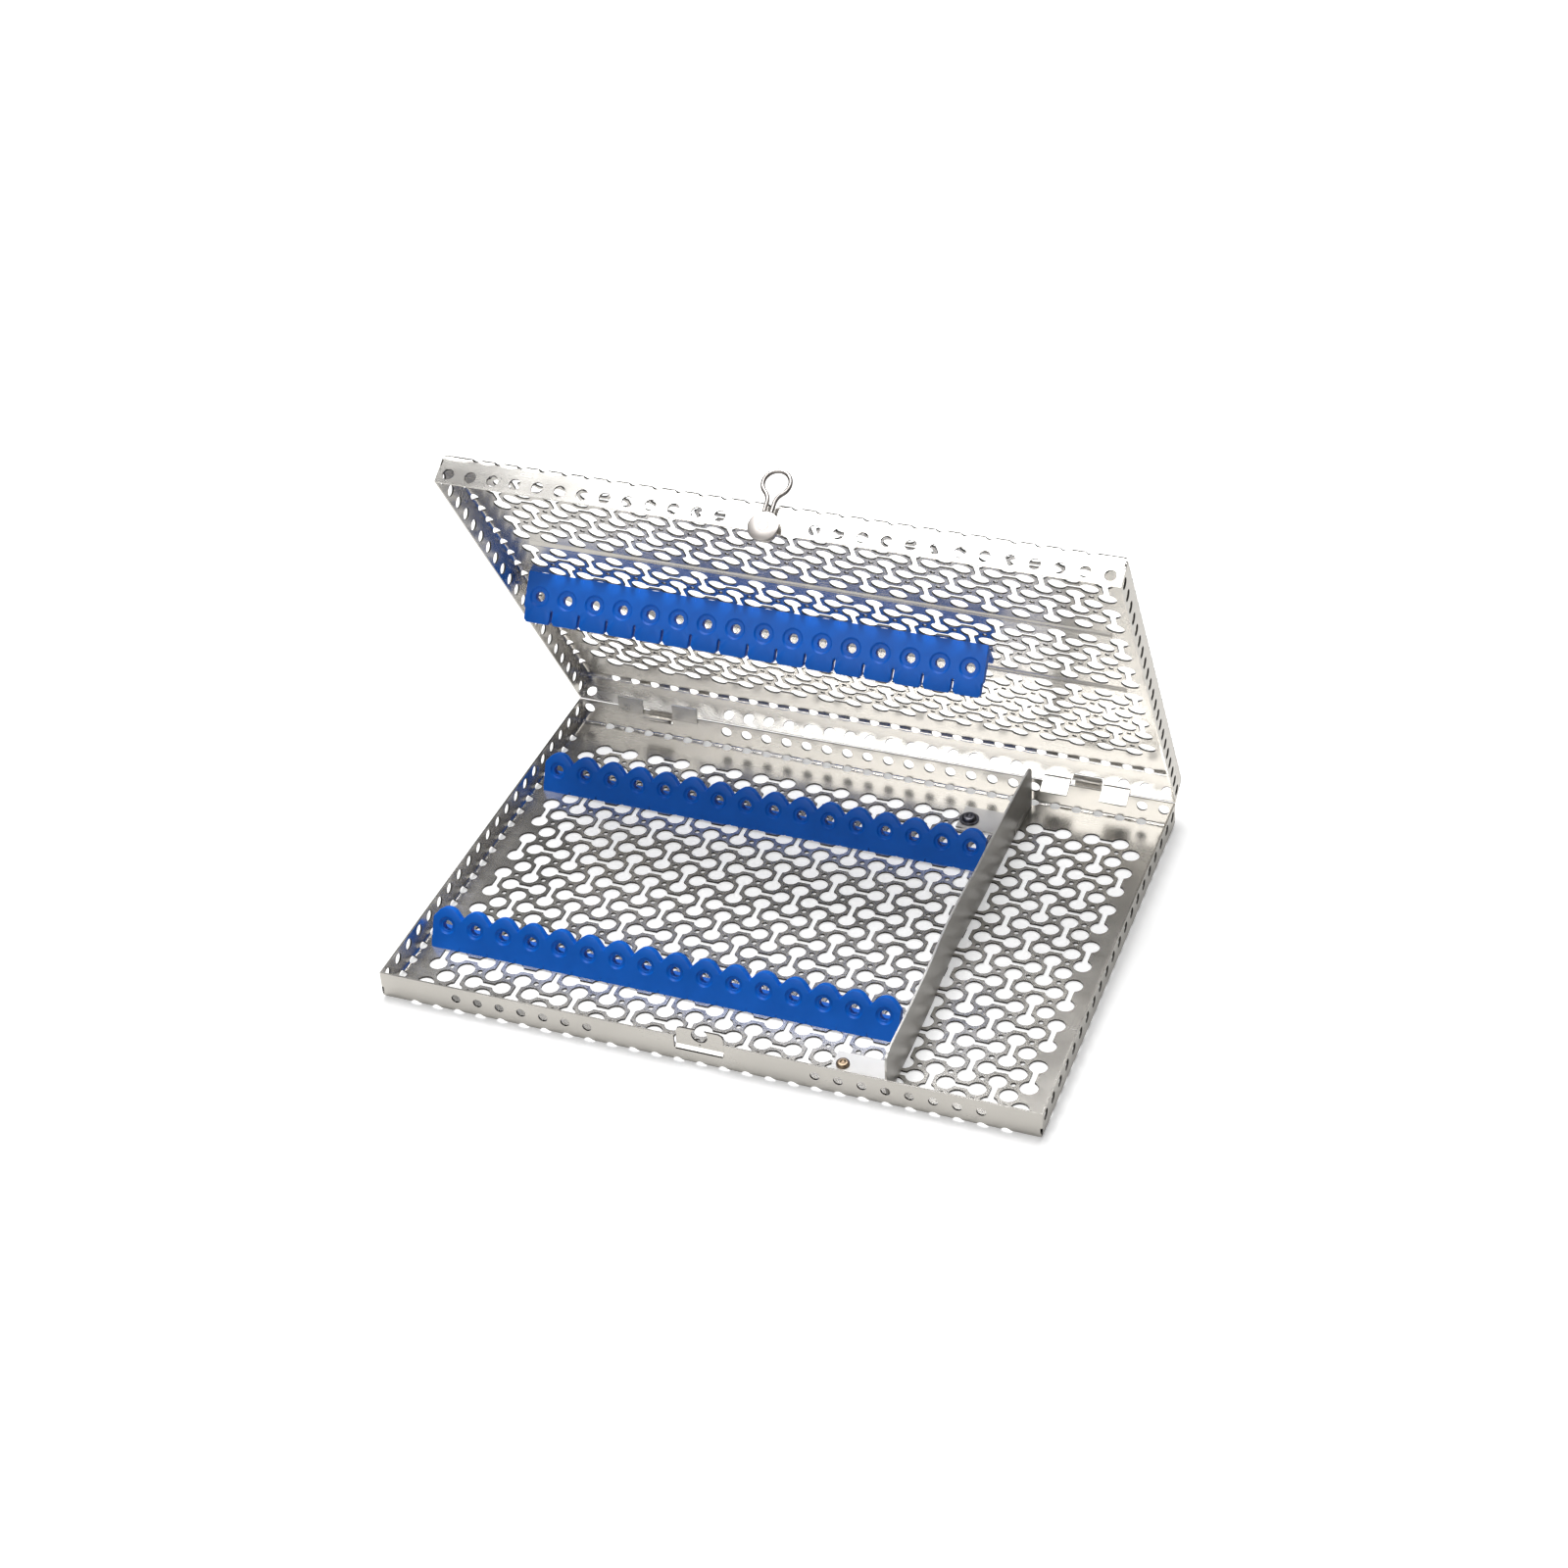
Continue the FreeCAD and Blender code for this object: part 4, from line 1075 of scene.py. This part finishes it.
def makeWorld():
    world = bpy.data.worlds.new("studio")
    bpy.context.scene.world = world
    world.use_nodes = True
    tree = world.node_tree
    light = tree.nodes["Background"]
    light.inputs["Strength"].default_value = 1.0
    place = tree.nodes.new("ShaderNodeTexCoord")
    apart = tree.nodes.new("ShaderNodeSeparateXYZ")
    tree.links.new(place.outputs["Generated"], apart.inputs["Vector"])
    room = tree.nodes.new("ShaderNodeValToRGB")
    tree.links.new(apart.outputs["Z"], room.inputs["Fac"])
    stops = room.color_ramp.elements
    stops[0].position, stops[0].color = 0.0, (0.30, 0.30, 0.31, 1)
    stops[1].position, stops[1].color = 1.0, (0.95, 0.94, 0.92, 1)
    for height, shade in ((0.12, 0.12), (0.25, 0.75), (0.45, 0.95), (0.6, 0.5), (0.74, 0.85)):
        stops.new(height).color = (shade, shade * 0.985, shade * 0.96, 1)
    white = tree.nodes.new("ShaderNodeBackground")
    white.inputs["Color"].default_value = (1, 1, 1, 1)
    white.inputs["Strength"].default_value = 1.0
    pathMix(tree, light.outputs["Background"], white.outputs["Background"],
            tree.nodes["World Output"].inputs["Surface"])


def makeFloor():
    mesh = bpy.data.meshes.new("floor")
    reach = studio["floorReach"]
    corners = rectanglePoints(-reach, -reach, reach, reach)
    mesh.from_pydata([(x, y, studio["floorHeight"]) for x, y in corners], [], [(0, 1, 2, 3)])
    floor = bpy.data.objects.new("floor", mesh)
    bpy.context.scene.collection.objects.link(floor)
    material, tree, shader = nodeMaterial("paleFloor", studio["floorColor"], 0.9, 0.0)
    mesh.materials.append(material)
    brighten(tree, shader)


def brighten(tree, shader):
    # A little light of its own, seen but not shed, more of it far out, keeps the floor white
    place = tree.nodes.new("ShaderNodeTexCoord")
    far = tree.nodes.new("ShaderNodeVectorMath")
    far.operation = "LENGTH"
    tree.links.new(place.outputs["Object"], far.inputs[0])
    fade = tree.nodes.new("ShaderNodeMapRange")
    for socket, value in (("From Min", studio["fadeStart"]), ("From Max", studio["fadeEnd"]),
                          ("To Min", studio["floorGlow"]), ("To Max", 1.0)):
        fade.inputs[socket].default_value = value
    tree.links.new(far.outputs["Value"], fade.inputs["Value"])
    path = tree.nodes.new("ShaderNodeLightPath")
    seen = tree.nodes.new("ShaderNodeMath")
    seen.operation = "MULTIPLY"
    tree.links.new(path.outputs["Is Camera Ray"], seen.inputs[0])
    tree.links.new(fade.outputs["Result"], seen.inputs[1])
    mirrored = tree.nodes.new("ShaderNodeMath")
    mirrored.operation = "MULTIPLY_ADD"
    tree.links.new(path.outputs["Is Glossy Ray"], mirrored.inputs[0])
    mirrored.inputs[1].default_value = studio["mirroredGlow"]
    tree.links.new(seen.outputs["Value"], mirrored.inputs[2])
    shader.inputs["Emission Color"].default_value = (1, 1, 1, 1)
    tree.links.new(mirrored.outputs["Value"], shader.inputs["Emission Strength"])
    mixColors(tree, shader, path.outputs["Is Glossy Ray"], studio["floorColor"], studio["mirroredColor"])


def areaLight(name, place, target, size, power):
    data = bpy.data.lights.new(name, "AREA")
    data.size = size
    data.energy = power
    lamp = bpy.data.objects.new(name, data)
    lamp.location = place
    lamp.rotation_euler = (Vector(target) - Vector(place)).to_track_quat("-Z", "Y").to_euler()
    bpy.context.scene.collection.objects.link(lamp)


def makeCamera():
    azimuth, elevation = studio["cameraAzimuth"], studio["cameraElevation"]
    level = math.cos(elevation)
    back = Vector((math.sin(azimuth) * level, -math.cos(azimuth) * level, math.sin(elevation)))
    side = Vector((0, 0, 1)).cross(back).normalized()
    up = back.cross(side)
    cosine, sine = math.cos(studio["cameraRoll"]), math.sin(studio["cameraRoll"])
    rolledSide = cosine * side + sine * up
    rolledUp = -sine * side + cosine * up
    place = Vector(studio["cameraTarget"]) + studio["cameraDistance"] * back
    data = bpy.data.cameras.new("camera")
    data.sensor_fit = "HORIZONTAL"
    data.sensor_width = studio["sensor"]
    data.lens = studio["focalPixels"] * studio["sensor"] / studio["framePixels"]
    camera = bpy.data.objects.new("camera", data)
    camera.matrix_world = Matrix((
        (rolledSide.x, rolledUp.x, back.x, place.x),
        (rolledSide.y, rolledUp.y, back.y, place.y),
        (rolledSide.z, rolledUp.z, back.z, place.z),
        (0, 0, 0, 1)))
    bpy.context.scene.collection.objects.link(camera)
    bpy.context.scene.camera = camera


makeWorld()
makeFloor()
for name, values in lights.items():
    areaLight(name, **values)
makeCamera()
bpy.context.scene.view_settings.view_transform = "Standard"
print("studio made")
